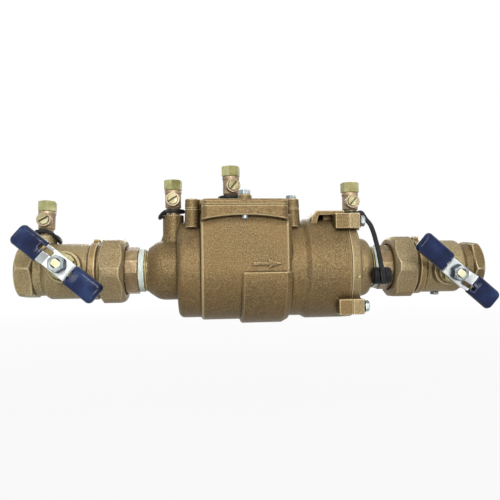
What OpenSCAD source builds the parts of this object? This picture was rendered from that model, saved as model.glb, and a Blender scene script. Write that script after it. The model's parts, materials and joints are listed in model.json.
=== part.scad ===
// Double check backflow preventer for an irrigation line, with two quarter-turn
// shut-off valves, four test cocks, a bolted top cover and a bolted outlet cover.
// Origin at the centre of the inlet mouth, X along the flow, Y away from the handles, Z up.

/* [Overall] */
// Length from the inlet mouth to the outlet mouth
total_len = 369; // [330:1:400]
// Clearance between pieces that only meet
gap = 0.1; // [0.05:0.05:0.3]
// Radial running clearance of shafts
run = 0.05; // [0.02:0.01:0.1]

/* [Shut-off valves] */
// Width across the flats of the pipe end
end_hex = 38.4; // [34:0.2:44]
// Length of the hexagonal pipe end
end_len = 12.5; // [10:0.5:18]
// Radius of the female pipe thread
pipe_r = 15.2; // [12:0.1:17]
// Depth of the female pipe thread
pipe_depth = 17; // [12:0.5:20]
// Distance of the stem from the mouth
stem_x = 38.4; // [34:0.2:44]
// How much shorter the outlet pipe end is than the inlet one
outlet_trim = 4; // [0:0.1:7]
// Radius of the ball
ball_r = 16.5; // [14:0.1:18]
// Radius of the bore through the ball
ball_bore = 10; // [7:0.1:11]
// Radius of the ball chamber inside
chamber_r = 17.2; // [15:0.1:19]
// Radius of the ball chamber outside
shell_r = 21.5; // [20:0.1:24]
// Width across the flats of the union nut
nut_hex = 48.8; // [44:0.2:54]
// Radius that the union nut's corners are turned to
nut_turned = 26.3; // [25:0.1:29]
// Start of the union nut
nut_x = 62.2; // [60:0.1:64]
// Length of the union nut
nut_len = 18.5; // [15:0.5:22]
// Radius to the corners of the twelve-sided tailpiece
tail_r = 18.8; // [17.5:0.1:20]
// Length of the twelve-sided part of the tailpiece
tail_len = 9.6; // [8:0.1:14]
// Radius of the tailpiece thread
tail_thread_r = 16.4; // [15:0.1:17]
// Radius of the waterway
water_r = 12; // [10:0.1:13]
// Turn of the inlet valve about the pipe
inlet_roll = 7; // [-20:0.5:20]
// Turn of the outlet valve about the pipe
outlet_roll = 7; // [-20:0.5:20]

/* [Handles] */
// Angle of the handles from the pipe, part closed
handle_turn = 39.5; // [0:0.5:90]
// Length of a handle
handle_len = 70; // [60:1:90]
// How much longer the wing with the small window is on the outlet handle
outlet_wing_extra = 3.6; // [0:0.1:6]
// Width of the metal strip
handle_w = 14.2; // [12:0.1:18]
// Thickness of the metal strip
handle_t = 2.4; // [1.5:0.1:4]
// Height of the strip above the pipe axis
handle_z = 37.6; // [36:0.1:42]
// Rise of the wings
wing_rise = 5; // [2:0.1:8]
// Half length of the flat middle
flat_half = 9.8; // [9:0.1:14]
// Length of the bend between the flat middle and a wing
bend_len = 4.4; // [3:0.1:6]
// Distance of the vinyl from the stem on the wing with the long slot
grip_from = 13.4; // [11:0.1:18]
// Distance of the vinyl from the stem on the wing with the small window
grip_near = 10.8; // [10:0.1:18]
// Width of a grip
grip_w = 16; // [14:0.1:20]
// Thickness of a grip
grip_t = 5.4; // [4:0.1:8]
// Height of the nut on the stem
handle_nut_h = 8.2; // [5:0.1:9]

/* [Body] */
// Start of the inlet hub
hub_x = 97.8; // [95:0.1:100]
// Radius of the hubs
hub_r = 23.7; // [20:0.1:26]
// Start of the left section
left_x = 121.3; // [118:0.1:126]
// Radius of the left section
left_r = 38; // [34:0.1:40]
// Start of the centre section
mid_x = 139.1; // [135:0.1:142]
// End of the centre section
mid_end = 207; // [200:0.5:212]
// Radius of the centre section
mid_r = 40.1; // [36:0.1:42]
// Radius of the neck after the centre section
neck_r = 38.2; // [34:0.1:40]
// Start of the right section
right_x = 217.8; // [212:0.1:222]
// Radius of the right section
right_r = 40.4; // [36:0.1:42]
// End of the body, where the outlet cover starts
body_end = 252.5; // [248:0.5:258]
// Radius of the second chamber
bore_r = 33; // [28:0.1:35]

/* [Top cover] */
// Position of the cover along the pipe
cover_x = 171.5; // [168:0.5:178]
// Half length of the cover and its flange along the pipe
cover_half_x = 31.8; // [30:0.1:34]
// Half width of the cover and its flange across the pipe
cover_half_y = 48.5; // [46:0.1:50]
// Radius of the cover's corners
cover_corner = 5; // [2:0.5:12]
// Radius of the arch under the flange
arch_r = 148; // [100:1:300]
// Underside of the body flange
flange_z = 39.2; // [38:0.1:43]
// Joint between body and cover
split_z = 46.5; // [45:0.1:50]
// Top of the cover
cover_z = 51; // [49:0.1:56]
// Top of the bolt bosses
boss_z = 54.3; // [52:0.1:58]
// Distance of the front and back bolts from the middle
bolt_y = 43; // [42:0.1:45]
// Distance of the side bolts from the middle along the pipe
side_x = 39.2; // [37:0.1:42]
// Distance of the side bolts from the middle across the pipe
side_y = 13; // [10:0.1:16]
// Distance of the side lugs' rounded ends from the middle across the pipe
lug_y = 18.6; // [14:0.1:22]
// Radius of the opening under the cover
hatch_r = 27.6; // [26:0.1:28]
// Radius of the bolt bosses
lug_r = 5; // [4:0.1:7]
// Lower end of the side bosses
lug_z = 32.2; // [28:0.1:38]
// Radius of a bolt shank
bolt_r = 2.5; // [2:0.1:4]
// Width across the flats of a bolt head
bolt_hex = 7.6; // [7:0.1:10]

/* [Outlet cover] */
// Thickness of the cover flange
end_flange = 8; // [5:0.1:10]
// Radius of the bolt circle
end_pcd_r = 44.5; // [42:0.1:47]
// Angle of the upper bolts above the front and the back
end_bolt_turn = 54; // [0:1:90]
// Angle of the lower bolts below the front and the back
end_bolt_low = 42; // [0:1:60]
// Half width of the bolt lugs
end_lug_r = 5.9; // [5:0.1:8]
// Length of the lugs on the body
end_lug_len = 10.5; // [6:0.5:16]
// Radius of the hub's rounded end
hub_round = 6; // [3:0.1:8]

/* [Check valves] */
// Back face of the first seat flange
check_1_x = 130; // [128:0.5:136]
// Back face of the second seat flange
check_2_x = 213.5; // [210:0.5:216]
// Radius of the seat opening
seat_r = 15; // [12:0.1:18]
// Lift of a poppet
check_lift = 8; // [5:0.5:10]
// Mean radius of a spring
spring_r = 10; // [8:0.1:12]
// Radius of the spring wire
wire_r = 0.9; // [0.6:0.05:1.2]
// Turns of a spring
spring_turns = 4; // [3:1:6]

/* [Test cocks] */
// Height of a test cock's neck
cock_neck = 5.6; // [4:0.1:8]
// Height of a test cock's body
cock_body = 14.6; // [12:0.1:18]
// Height of the hexagonal outlet
cock_hex_len = 8; // [6:0.1:10]
// Width across the flats of the outlet
cock_hex = 13; // [11:0.1:16]
// Radius of a test cock's body
cock_r = 6.3; // [5:0.1:8]
// Radius of the turning plug
plug_r = 4; // [3:0.1:5]
// Radius of the outlet hole
cock_hole = 4.4; // [3:0.1:5]

/* [Tethers] */
// Width of the strap
strap_w = 3.8; // [3:0.1:6]
// Thickness of the strap
strap_t = 2; // [1.5:0.1:3]
// Radius of the hanging cap
cap_r = 7.4; // [6:0.1:9]
// Length of the hanging cap
cap_len = 15.5; // [10:0.5:20]

/* [Hidden] */
$fn = 64;
bronze = [0.62, 0.50, 0.30];
machined = [0.70, 0.50, 0.33];
brass = [0.78, 0.72, 0.42];
zinc = [0.80, 0.82, 0.84];
navy = [0.12, 0.15, 0.35];
black = [0.06, 0.06, 0.07];
white = [0.92, 0.93, 0.92];
chrome = [0.80, 0.80, 0.82];
steel = [0.66, 0.67, 0.68];
resin = [0.20, 0.22, 0.24];
mirror_len = total_len + outlet_trim;
nut_end = nut_x + nut_len;
tail_end = nut_end + tail_len;
valve_end = 66;
cover_flange_end = body_end + end_flange;
hub_out_x = mirror_len - hub_x;
cock_top = cock_neck + cock_body + cock_hex_len;
plug_z = cock_neck + 6.6;
cap_at = [277.5, -31, -7];

// Solid of revolution about the X axis from points given as [radius, x]
module spun(points) {
  rotate([0, 90, 0]) {
    rotate_extrude() {
      polygon(points);
    }
  }
}

// Round bar along X
module bar(x0, x1, r) {
  translate([x0, 0, 0]) {
    rotate([0, 90, 0]) {
      cylinder(h = x1 - x0, r = r);
    }
  }
}

// Hexagonal bar along X with two corners on the Y axis
module hex_bar(x0, x1, flats) {
  translate([x0, 0, 0]) {
    rotate([90, 0, 0]) {
      rotate([0, 90, 0]) {
        cylinder(h = x1 - x0, r = flats / 2 / cos(30), $fn = 6);
      }
    }
  }
}

// Ring of round section about the X axis
module ring_x(x, r, t) {
  translate([x, 0, 0]) {
    rotate([0, 90, 0]) {
      rotate_extrude() {
        translate([r, 0]) {
          circle(r = t);
        }
      }
    }
  }
}

// Frame of the inlet valve
module at_inlet() {
  rotate([-inlet_roll, 0, 0]) {
    children();
  }
}

// Frame of the outlet valve, drawn as a mirror of the inlet one
module at_outlet() {
  translate([mirror_len, 0, 0]) {
    mirror([1, 0, 0]) {
      rotate([outlet_roll, 0, 0]) {
        children();
      }
    }
  }
}

// Frame of a valve's turning parts: x along the handle, z out along the stem
module at_turn(side, turn) {
  if (side == 0) {
    at_inlet() {
      translate([stem_x, 0, 0]) {
        rotate([90, 0, 0]) {
          rotate([0, 0, -turn]) {
            children();
          }
        }
      }
    }
  } else {
    translate([mirror_len - stem_x, 0, 0]) {
      rotate([outlet_roll + 90, 0, 0]) {
        rotate([0, 0, -turn]) {
          children();
        }
      }
    }
  }
}

// Cast valve body with a hexagonal pipe end, a ball chamber and a stem boss
module valve_body(tapped) {
  mouth = tapped ? 0 : outlet_trim;
  difference() {
    union() {
      intersection() {
        hex_bar(mouth, end_len, end_hex);
        spun([[0, mouth], [end_hex / 2 - 0.4, mouth], [end_hex / 2 + 2.4, mouth + 2.2],
          [end_hex / 2 + 3, end_len - 1], [end_hex / 2 + 1.4, end_len], [0, end_len]]);
      }
      spun([[0, end_len - 1], [17.6, end_len - 1], [17.6, end_len + 0.8], [18.9, end_len + 1.4],
        [18.6, 20], [shell_r - 1.6, 21], [shell_r, 23.5], [shell_r, 51], [shell_r - 1, 53],
        [shell_r - 1, 54], [shell_r + 1, 54.6], [shell_r + 1, 59.4], [shell_r - 0.9, 60],
        [shell_r - 0.9, valve_end], [0, valve_end]]);
      translate([54.6, -3, 20]) {
        cube([4.8, 6, 5]);
      }
      translate([stem_x, 0, 0]) {
        rotate([90, 0, 0]) {
          cylinder(h = 27, r = 12);
          cylinder(h = 31, r = 9.6);
        }
      }
      if (tapped) {
        translate([cock_1_x, 0, 0]) {
          cylinder(h = cock_1_z, r = 8.3);
        }
      }
    }
    bar(mouth - 1, tapped ? pipe_depth : mouth + 13, pipe_r);
    bar(pipe_depth - 1, 24, water_r - 1);
    bar(stem_x - ball_r, valve_end + 1, chamber_r);
    translate([valve_end - 1.7, 0, 0]) {
      rotate([0, 90, 0]) {
        difference() {
          cylinder(h = 3, r = 20.1);
          cylinder(h = 3, r = 18.1);
        }
      }
    }
    translate([stem_x, 0, 0]) {
      rotate([90, 0, 0]) {
        cylinder(h = 20, r = 6.8);
        cylinder(h = 40, r = plug_r + run);
        translate([0, 0, 24]) {
          cylinder(h = 10, r = 7);
        }
      }
    }
    if (tapped) {
      translate([cock_1_x, 0, cock_1_z - 6.2]) {
        cylinder(h = 40, r = 5);
      }
      translate([cock_1_x, 0, 5]) {
        cylinder(h = 40, r = 2.5);
      }
    } else {
      translate([stem_x, 0, -shell_r - 5]) {
        cylinder(h = 8.4, r = 2.55);
      }
    }
  }
}

// Union nut with turned corners, as it was left when tightened
module union_nut(turn) {
  rotate([turn, 0, 0]) {
    difference() {
      intersection() {
        hex_bar(nut_x, nut_end, nut_hex);
        spun([[0, nut_x], [nut_hex / 2 - 0.8, nut_x], [nut_turned, nut_x + 2], [nut_turned, nut_end - 3],
          [nut_hex / 2 - 1.6, nut_end], [0, nut_end]]);
      }
      bar(nut_x - 1, 72.2, 21.6);
      bar(nut_x, nut_end + 1, tail_r + 0.3);
    }
  }
}

// Twelve-sided tailpiece with a sealing flange and a male thread
module tailpiece(turn) {
  difference() {
    union() {
      bar(valve_end + gap, 72.1, 21.3);
      bar(72, nut_end + 0.2, 18);
      translate([nut_end, 0, 0]) {
        rotate([turn, 0, 0]) {
          rotate([0, 90, 0]) {
            cylinder(h = tail_len, r = tail_r, $fn = 12);
          }
        }
      }
      bar(tail_end - 1, hub_x + 12.5, tail_thread_r);
    }
    bar(valve_end - 1, hub_x + 20, water_r);
  }
}

// Ring that holds the ball in its chamber
module seat_retainer() {
  difference() {
    bar(stem_x + ball_r + 0.1, valve_end - 0.2, chamber_r - gap);
    bar(stem_x, valve_end + 1, water_r - 1);
  }
}

// Gland nut around the stem
module packing_nut() {
  translate([stem_x, 0, 0]) {
    rotate([90, 0, 0]) {
      difference() {
        union() {
          translate([0, 0, 28]) {
            cylinder(h = 4, r = 7 - gap);
          }
          translate([0, 0, 31 + gap]) {
            rotate([0, 0, 20]) {
              cylinder(h = 5.6, r = 17 / 2 / cos(30), $fn = 6);
            }
          }
        }
        cylinder(h = 60, r = plug_r + 0.35);
      }
    }
  }
}

// Ball with its waterway and the slot for the stem
module ball() {
  difference() {
    sphere(r = ball_r);
    rotate([0, 90, 0]) {
      cylinder(h = 60, r = ball_bore, center = true);
    }
    translate([-8, -2.6, 13]) {
      cube([16, 5.2, 10]);
    }
  }
}

// Stem with a tang, a thrust flange, flats for the handle and a threaded end
module stem() {
  translate([-6, -2.5, 13.2]) {
    cube([12, 5, 4]);
  }
  translate([0, 0, 17]) {
    cylinder(h = 2.6, r = 6.2);
  }
  translate([0, 0, 19]) {
    cylinder(h = handle_z - 19.3, r = plug_r);
  }
  intersection() {
    translate([0, 0, handle_z - 1]) {
      cylinder(h = 11.4, r = 3.5);
    }
    translate([-5, -2.6, handle_z - 1]) {
      cube([10, 5.2, 20]);
    }
  }
}

// Side outline of the handle strip, as points [along, up], its -X wing longer by extra
function strip_side(lo, hi, extra) = [
  [-handle_len / 2 - extra, wing_rise + lo], [-flat_half - bend_len, wing_rise + lo], [-flat_half, lo],
  [flat_half, lo], [flat_half + bend_len, wing_rise + lo], [handle_len / 2, wing_rise + lo],
  [handle_len / 2, wing_rise + hi], [flat_half + bend_len - 0.8, wing_rise + hi], [flat_half - 0.8, hi],
  [-flat_half + 0.8, hi], [-flat_half - bend_len + 0.8, wing_rise + hi],
  [-handle_len / 2 - extra, wing_rise + hi]
];

// Height of the strip's underside at a distance from the stem
function strip_rise(x) = wing_rise * min(max((x - flat_half) / bend_len, 0), 1);

// Side outline of a grip that runs from x0 to x2, as points [along, up]
function grip_side(x0, x2) =
  let (x1 = flat_half + bend_len, coat = (grip_t - handle_t) / 2)
  [
    [x0, strip_rise(x0) - coat], [x1 + 0.6, wing_rise - coat], [x2, wing_rise - coat],
    [x2, wing_rise + handle_t + coat], [x1 - 0.9, wing_rise + handle_t + coat],
    [x0, strip_rise(x0) + handle_t + coat]
  ];

// Upright slab with rounded corners, from x0 to x1
module rounded_slab(x0, x1, w, h, r) {
  translate([x0 + r, -w / 2, 0]) {
    cube([x1 - x0 - 2 * r, w, h]);
  }
  translate([x0, -w / 2 + r, 0]) {
    cube([x1 - x0, w - 2 * r, h]);
  }
  for (x = [x0 + r, x1 - r]) {
    for (y = [-w / 2 + r, w / 2 - r]) {
      translate([x, y, 0]) {
        cylinder(h = h, r = r);
      }
    }
  }
}

// Plain strip of the handle, before its slots
module strip(extra) {
  translate([0, handle_w / 2, handle_z]) {
    rotate([90, 0, 0]) {
      linear_extrude(height = handle_w) {
        polygon(strip_side(0, handle_t, extra));
      }
    }
  }
}

// Long slot in one wing
module long_slot() {
  translate([7.8, -4.8, handle_z - 5]) {
    cube([9.2, 3.8, 30]);
  }
}

// Small window in the bend of the other wing
module small_window() {
  translate([-13.2, -1.8, handle_z - 5]) {
    cube([3.4, 3.6, 30]);
  }
}

// Plated T-handle
module handle(extra) {
  difference() {
    strip(extra);
    long_slot();
    small_window();
    intersection() {
      translate([0, 0, handle_z - 5]) {
        cylinder(h = 20, r = 3.5 + 0.02);
      }
      translate([-5, -2.62, handle_z - 5]) {
        cube([10, 5.24, 20]);
      }
    }
  }
}

// Coat of vinyl on the +X wing from x0 to x2, before the strip and the slots are taken out
module grip_coat(x0, x2) {
  intersection() {
    translate([0, 0, handle_z - 5]) {
      rounded_slab(x0, x2, grip_w, 20, 3);
    }
    translate([0, grip_w / 2 + 1, handle_z]) {
      rotate([90, 0, 0]) {
        linear_extrude(height = grip_w + 2) {
          polygon(grip_side(x0, x2));
        }
      }
    }
  }
}

// Dipped grips on the two wings
module handle_grips(extra) {
  difference() {
    union() {
      grip_coat(grip_from, handle_len / 2 + 1);
      mirror([1, 0, 0]) {
        grip_coat(grip_near, handle_len / 2 + 1 + extra);
      }
    }
    strip(extra);
    long_slot();
    small_window();
  }
}

// Nut on the end of the stem
module handle_nut() {
  translate([0, 0, handle_z + handle_t + 0.02]) {
    difference() {
      union() {
        cylinder(h = 1, r = 6.2);
        intersection() {
          rotate([0, 0, 9.5]) {
            cylinder(h = handle_nut_h, r = 11.2 / 2 / cos(30), $fn = 6);
          }
          rotate_extrude() {
            polygon([[0, 0], [7, 0], [7, handle_nut_h - 1.4], [4.8, handle_nut_h], [0, handle_nut_h]]);
          }
        }
      }
      translate([0, 0, -1]) {
        cylinder(h = 20, r = 3.5 + 0.02);
      }
    }
  }
}

// Soft seat ring that faces the ball
module ball_seat(x0, x1) {
  rotate([0, 90, 0]) {
    rotate_extrude() {
      difference() {
        translate([ball_bore + 0.6, x0]) {
          square([chamber_r - gap - ball_bore - 0.6, x1 - x0]);
        }
        translate([0, stem_x]) {
          circle(r = ball_r + 0.15);
        }
      }
    }
  }
}

// Packing ring in the stem box
module stem_packing() {
  translate([stem_x, 0, 0]) {
    rotate([90, 0, 0]) {
      translate([0, 0, 24 + gap]) {
        difference() {
          cylinder(h = 3.8, r = 7 - gap);
          translate([0, 0, -1]) {
            cylinder(h = 9, r = plug_r + 0.3);
          }
        }
      }
    }
  }
}

// Tape wound on the tailpiece thread where it enters the hub
module thread_tape() {
  difference() {
    bar(tail_end + 0.4, hub_x - 2.6, tail_thread_r + 0.7);
    bar(tail_end - 1, hub_x + 1, tail_thread_r + 0.02);
  }
}

// Position of each test cock's foot
cock_1_x = 17.8;
cock_1_z = 27.6;
function cock_at(n) = n == 2 ? [117, 0, 43.5] : n == 3 ? [163, -10, 53] : [260, -8, 40.6];
function cock_turn(n) = n == 3 ? 10 : 0;
function hex_turn(n) = n == 1 ? -23 : n == 2 ? 22 : n == 3 ? 4 : -15;
function slot_turn(n) = n == 1 ? 31 : n == 2 ? 32 : n == 3 ? 52 : 48;

// Frame of a test cock, with Z along its outlet
module at_cock(n) {
  if (n == 1) {
    at_inlet() {
      translate([cock_1_x, 0, cock_1_z]) {
        children();
      }
    }
  } else {
    translate(cock_at(n)) {
      rotate([0, 0, cock_turn(n)]) {
        children();
      }
    }
  }
}

// Test cock body with a threaded foot and a barrel for the plug
module cock_body_part() {
  difference() {
    union() {
      translate([0, 0, -6]) {
        cylinder(h = 8, r = 4.9);
      }
      cylinder(h = cock_neck + 0.5, r = 5.2);
      translate([0, 0, cock_neck]) {
        rotate_extrude() {
          polygon([[0, 0], [cock_r - 0.8, 0], [cock_r, 0.8], [cock_r, cock_body - 3.2],
            [cock_r + 0.4, cock_body - 2.6], [cock_r + 0.4, cock_body - 0.6],
            [cock_r - 0.2, cock_body], [0, cock_body]]);
        }
      }
      translate([0, 0, plug_z]) {
        rotate([90, 0, 0]) {
          cylinder(h = 9.6, r = 5.5);
        }
      }
    }
    translate([0, 0, -9]) {
      cylinder(h = 60, r = 2.4);
    }
    translate([0, 3.4, plug_z]) {
      rotate([90, 0, 0]) {
        cylinder(h = 30, r = plug_r + run);
      }
    }
  }
}

// Hexagonal outlet on top of a test cock
module cock_outlet_part(n) {
  translate([0, 0, cock_neck + cock_body + 0.02]) {
    rotate([0, 0, hex_turn(n)]) {
      difference() {
        intersection() {
          cylinder(h = cock_hex_len, r = cock_hex / 2 / cos(30), $fn = 6);
          rotate_extrude() {
            polygon([[0, 0], [8, 0], [8, cock_hex_len - 1], [cock_hex / 2 + 0.2, cock_hex_len],
              [0, cock_hex_len]]);
          }
        }
        translate([0, 0, 1]) {
          cylinder(h = 20, r = cock_hole);
        }
        translate([0, 0, -1]) {
          cylinder(h = 20, r = 2.4);
        }
      }
    }
  }
}

// Turning plug with a cross hole and a screwdriver slot
module cock_plug_part(n) {
  translate([0, 0, plug_z]) {
    rotate([90, 0, 0]) {
      rotate([0, 0, slot_turn(n)]) {
        difference() {
          translate([0, 0, -3.2]) {
            cylinder(h = 14, r = plug_r);
          }
          rotate([0, 90, 0]) {
            cylinder(h = 20, r = 2, center = true);
          }
          translate([-6, -0.6, 9.2]) {
            cube([12, 1.2, 4]);
          }
        }
      }
    }
  }
}

// Place of outlet cover bolt k
function end_bolt(k) = k == 0 ? end_bolt_turn : k == 1 ? 180 - end_bolt_turn
  : k == 2 ? 180 + end_bolt_low : -end_bolt_low;

// Children repeated at the four outlet cover bolts
module at_end_bolts() {
  for (k = [0:3]) {
    translate([0, -end_pcd_r * cos(end_bolt(k)), end_pcd_r * sin(end_bolt(k))]) {
      children();
    }
  }
}

// Children repeated at the top cover bolts
module at_cover_bolts() {
  for (s = [-1, 1]) {
    translate([cover_x, s * bolt_y, 0]) {
      children();
    }
  }
  at_side_bolts() {
    children();
  }
}

// Children repeated at the bolts on the cover's left and right, at opposite ends of the two lugs
module at_side_bolts() {
  for (s = [-1, 1]) {
    translate([cover_x + s * side_x, -s * side_y, 0]) {
      children();
    }
  }
}

// Radius of a side lug's rounded end at a height, a little wider at its foot
function lug_end(z) = lug_r + 0.04 * (boss_z - z);

// Lugs on the cover's left and right, between two heights
module side_lugs(z0, z1) {
  for (s = [-1, 1]) {
    for (y = [-lug_y, lug_y]) {
      translate([cover_x + s * side_x, y, 0]) {
        rotate_extrude() {
          polygon([[0, z0], [lug_end(z0), z0], [lug_end(z1), z1], [0, z1]]);
        }
      }
    }
    translate([cover_x + (s < 0 ? -side_x - lug_r : cover_half_x - 2), -lug_y, z0]) {
      cube([side_x + lug_r + 2 - cover_half_x, 2 * lug_y, z1 - z0]);
    }
  }
}

// Raised arrow that shows the direction of flow
module flow_arrow() {
  translate([0, -mid_r + 0.4, 0]) {
    rotate([90, 0, 0]) {
      linear_extrude(height = 1.2) {
        polygon([[177.5, 2.7], [189, 2.7], [189, 0.7], [199, 3.8], [189, 6.9], [189, 4.9], [177.5, 4.9]]);
      }
    }
  }
}

// Plan of the cover and its flange, raised to a height
module cover_plan(inset, h) {
  a = cover_half_x - inset;
  b = cover_half_y - inset;
  r = cover_corner - inset;
  translate([-a + r, -b, 0]) {
    cube([2 * a - 2 * r, 2 * b, h]);
  }
  translate([-a, -b + r, 0]) {
    cube([2 * a, 2 * b - 2 * r, h]);
  }
  for (x = [-a + r, a - r]) {
    for (y = [-b + r, b - r]) {
      translate([x, y, 0]) {
        cylinder(h = h, r = r);
      }
    }
  }
}

// Outside of the cast body
module body_outside() {
  spun([[0, hub_x], [hub_r - 6.2, hub_x], [hub_r - 2.1, hub_x + 5.8], [hub_r - 0.7, hub_x + 8.4],
    [hub_r, hub_x + 12], [hub_r, left_x + 1], [0, left_x + 1]]);
  rotate([0, 90, 0]) {
    rotate_extrude() {
      translate([0, left_x + 4.5]) {
        square([left_r, mid_x - left_x - 3]);
      }
      translate([0, left_x]) {
        square([left_r - 4.5, 12]);
      }
      translate([left_r - 4.5, left_x + 4.5]) {
        circle(r = 4.5);
      }
    }
  }
  spun([[0, mid_x], [mid_r - 1, mid_x], [mid_r, mid_x + 1], [mid_r, mid_end - 3],
    [mid_r - 2.6, mid_end], [0, mid_end]]);
  linear_extrude(height = flange_z + 1) {
    polygon([[mid_x, 1 - mid_r], [mid_x + 1, -mid_r], [mid_end - 3, -mid_r], [mid_end, 2.6 - mid_r],
      [mid_end, mid_r - 2.6], [mid_end - 3, mid_r], [mid_x + 1, mid_r], [mid_x, mid_r - 1]]);
  }
  difference() {
    translate([0, 0, -2]) {
      spun([[0, 169.4], [mid_r, 169.4], [mid_r + 1.3, 170.8], [mid_r + 1.3, mid_end - 5],
        [mid_r - 1.4, mid_end], [0, mid_end]]);
    }
    translate([160, -60, -2.6]) {
      cube([60, 120, 80]);
    }
  }
  spun([[0, mid_end - 1], [neck_r, mid_end - 1], [neck_r, right_x], [right_r, right_x + 4],
    [right_r, body_end - 0.5], [right_r - 0.5, body_end], [0, body_end]]);
  difference() {
    translate([cover_x, 0, flange_z - 3.4]) {
      cover_plan(0, split_z - flange_z + 3.4);
    }
    translate([cover_x, 60, flange_z - arch_r]) {
      rotate([90, 0, 0]) {
        cylinder(h = 120, r = arch_r, $fn = 200);
      }
    }
  }
  side_lugs(lug_z, split_z);
  translate([cock_at(2)[0], 0, 0]) {
    cylinder(h = cock_at(2)[2], r = 8.3);
    rotate_extrude() {
      polygon([[0, 16], [12, 16], [9.4, 24.6], [8.3, 28], [0, 28]]);
    }
  }
  at_end_bolts() {
    translate([body_end - end_lug_len, -end_lug_r, -end_lug_r]) {
      cube([end_lug_len, 2 * end_lug_r, 2 * end_lug_r]);
    }
  }
  translate([0, 10, 0]) {
    rotate([90, 0, 0]) {
      linear_extrude(height = 31) {
        polygon([[225, 34], [225.4, 39.8], [229.6, 45], [252, 45], [252, 41.4], [231.4, 41.4], [229.4, 34]]);
      }
    }
  }
  translate([236, -15, 34]) {
    cube([16, 22, 9]);
  }
  flow_arrow();
}

// Waterways, chambers and holes of the body
module body_inside() {
  bar(hub_x - 1, hub_x + 14, tail_thread_r + 0.1);
  bar(hub_x + 10, check_1_x + 1, water_r + 1);
  bar(check_1_x - 7, check_1_x + 1, 21 + gap);
  bar(check_1_x, mid_end - 3, bore_r);
  translate([cover_x, 0, 0]) {
    cylinder(h = 80, r = hatch_r);
  }
  bar(mid_end - 10, check_2_x + 1, 21 + gap);
  bar(check_2_x, body_end + 5, bore_r);
  at_cover_bolts() {
    translate([0, 0, boss_z - 18]) {
      cylinder(h = 40, r = bolt_r);
    }
  }
  at_end_bolts() {
    bar(body_end - 8, body_end + 5, bolt_r);
  }
  translate([cock_at(2)[0], 0, cock_at(2)[2] - 6.2]) {
    cylinder(h = 20, r = 5);
  }
  translate([cock_at(2)[0], 0, 5]) {
    cylinder(h = 50, r = 2.4);
  }
}

// Round-section seal in a face groove
module face_ring(r, t) {
  rotate_extrude() {
    translate([r, 0]) {
      circle(r = t);
    }
  }
}

// Groove for a face seal, open at the top
module face_groove(r, w, d) {
  translate([0, 0, -d]) {
    difference() {
      cylinder(h = d + 1, r = r + w / 2);
      translate([0, 0, -1]) {
        cylinder(h = d + 4, r = r - w / 2);
      }
    }
  }
}

module main_body() color(bronze) {
  difference() {
    body_outside();
    body_inside();
    translate([cover_x, 0, split_z]) {
      face_groove(hatch_r + 2, 2.2, 1.8);
    }
    translate([body_end, 0, 0]) {
      rotate([0, 90, 0]) {
        face_groove(35.2, 2.6, 2.1);
      }
    }
  }
}

module top_cover() color(bronze) {
  difference() {
    union() {
      translate([cover_x, 0, split_z + gap]) {
        cover_plan(0, cover_z - split_z - 1);
        cover_plan(0.9, cover_z - split_z);
      }
      side_lugs(split_z + gap, boss_z);
      for (s = [-1, 1]) {
        translate([cover_x, s * bolt_y, split_z + gap]) {
          rotate_extrude() {
            polygon([[0, 0], [lug_r + 0.4, 0], [lug_r + 0.4, cover_z - split_z],
              [lug_r - 0.2, boss_z - split_z], [0, boss_z - split_z]]);
          }
        }
      }
      translate([cock_at(3)[0], cock_at(3)[1], cover_z - 1]) {
        cylinder(h = cock_at(3)[2] - cover_z + 1, r = 9);
      }
      translate([cover_x, 0, split_z - 2]) {
        cylinder(h = 4, r = hatch_r - 0.3);
      }
    }
    at_cover_bolts() {
      translate([0, 0, split_z - 5]) {
        cylinder(h = 20, r = bolt_r);
      }
    }
    translate([cock_at(3)[0], cock_at(3)[1], cock_at(3)[2] - 6.2]) {
      cylinder(h = 20, r = 5);
    }
    translate([cock_at(3)[0], cock_at(3)[1], split_z - 5]) {
      cylinder(h = 20, r = 2.4);
    }
  }
}

module cover_o_ring() color(black) {
  translate([cover_x, 0, split_z - 0.9]) {
    face_ring(hatch_r + 2, 0.85);
  }
}

// Hexagon head bolt pointing down from its seat
module bolt(length) {
  translate([0, 0, -length]) {
    cylinder(h = length + 1, r = bolt_r - 0.03);
  }
  intersection() {
    cylinder(h = 3.4, r = bolt_hex / 2 / cos(30), $fn = 6);
    rotate_extrude() {
      polygon([[0, 0], [8, 0], [8, 2.8], [bolt_hex / 2 - 0.1, 3.4], [0, 3.4]]);
    }
  }
}

module cover_bolts() color(zinc) {
  at_cover_bolts() {
    translate([0, 0, boss_z + gap]) {
      rotate([0, 0, 12]) {
        bolt(17.6);
      }
    }
  }
}

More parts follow.
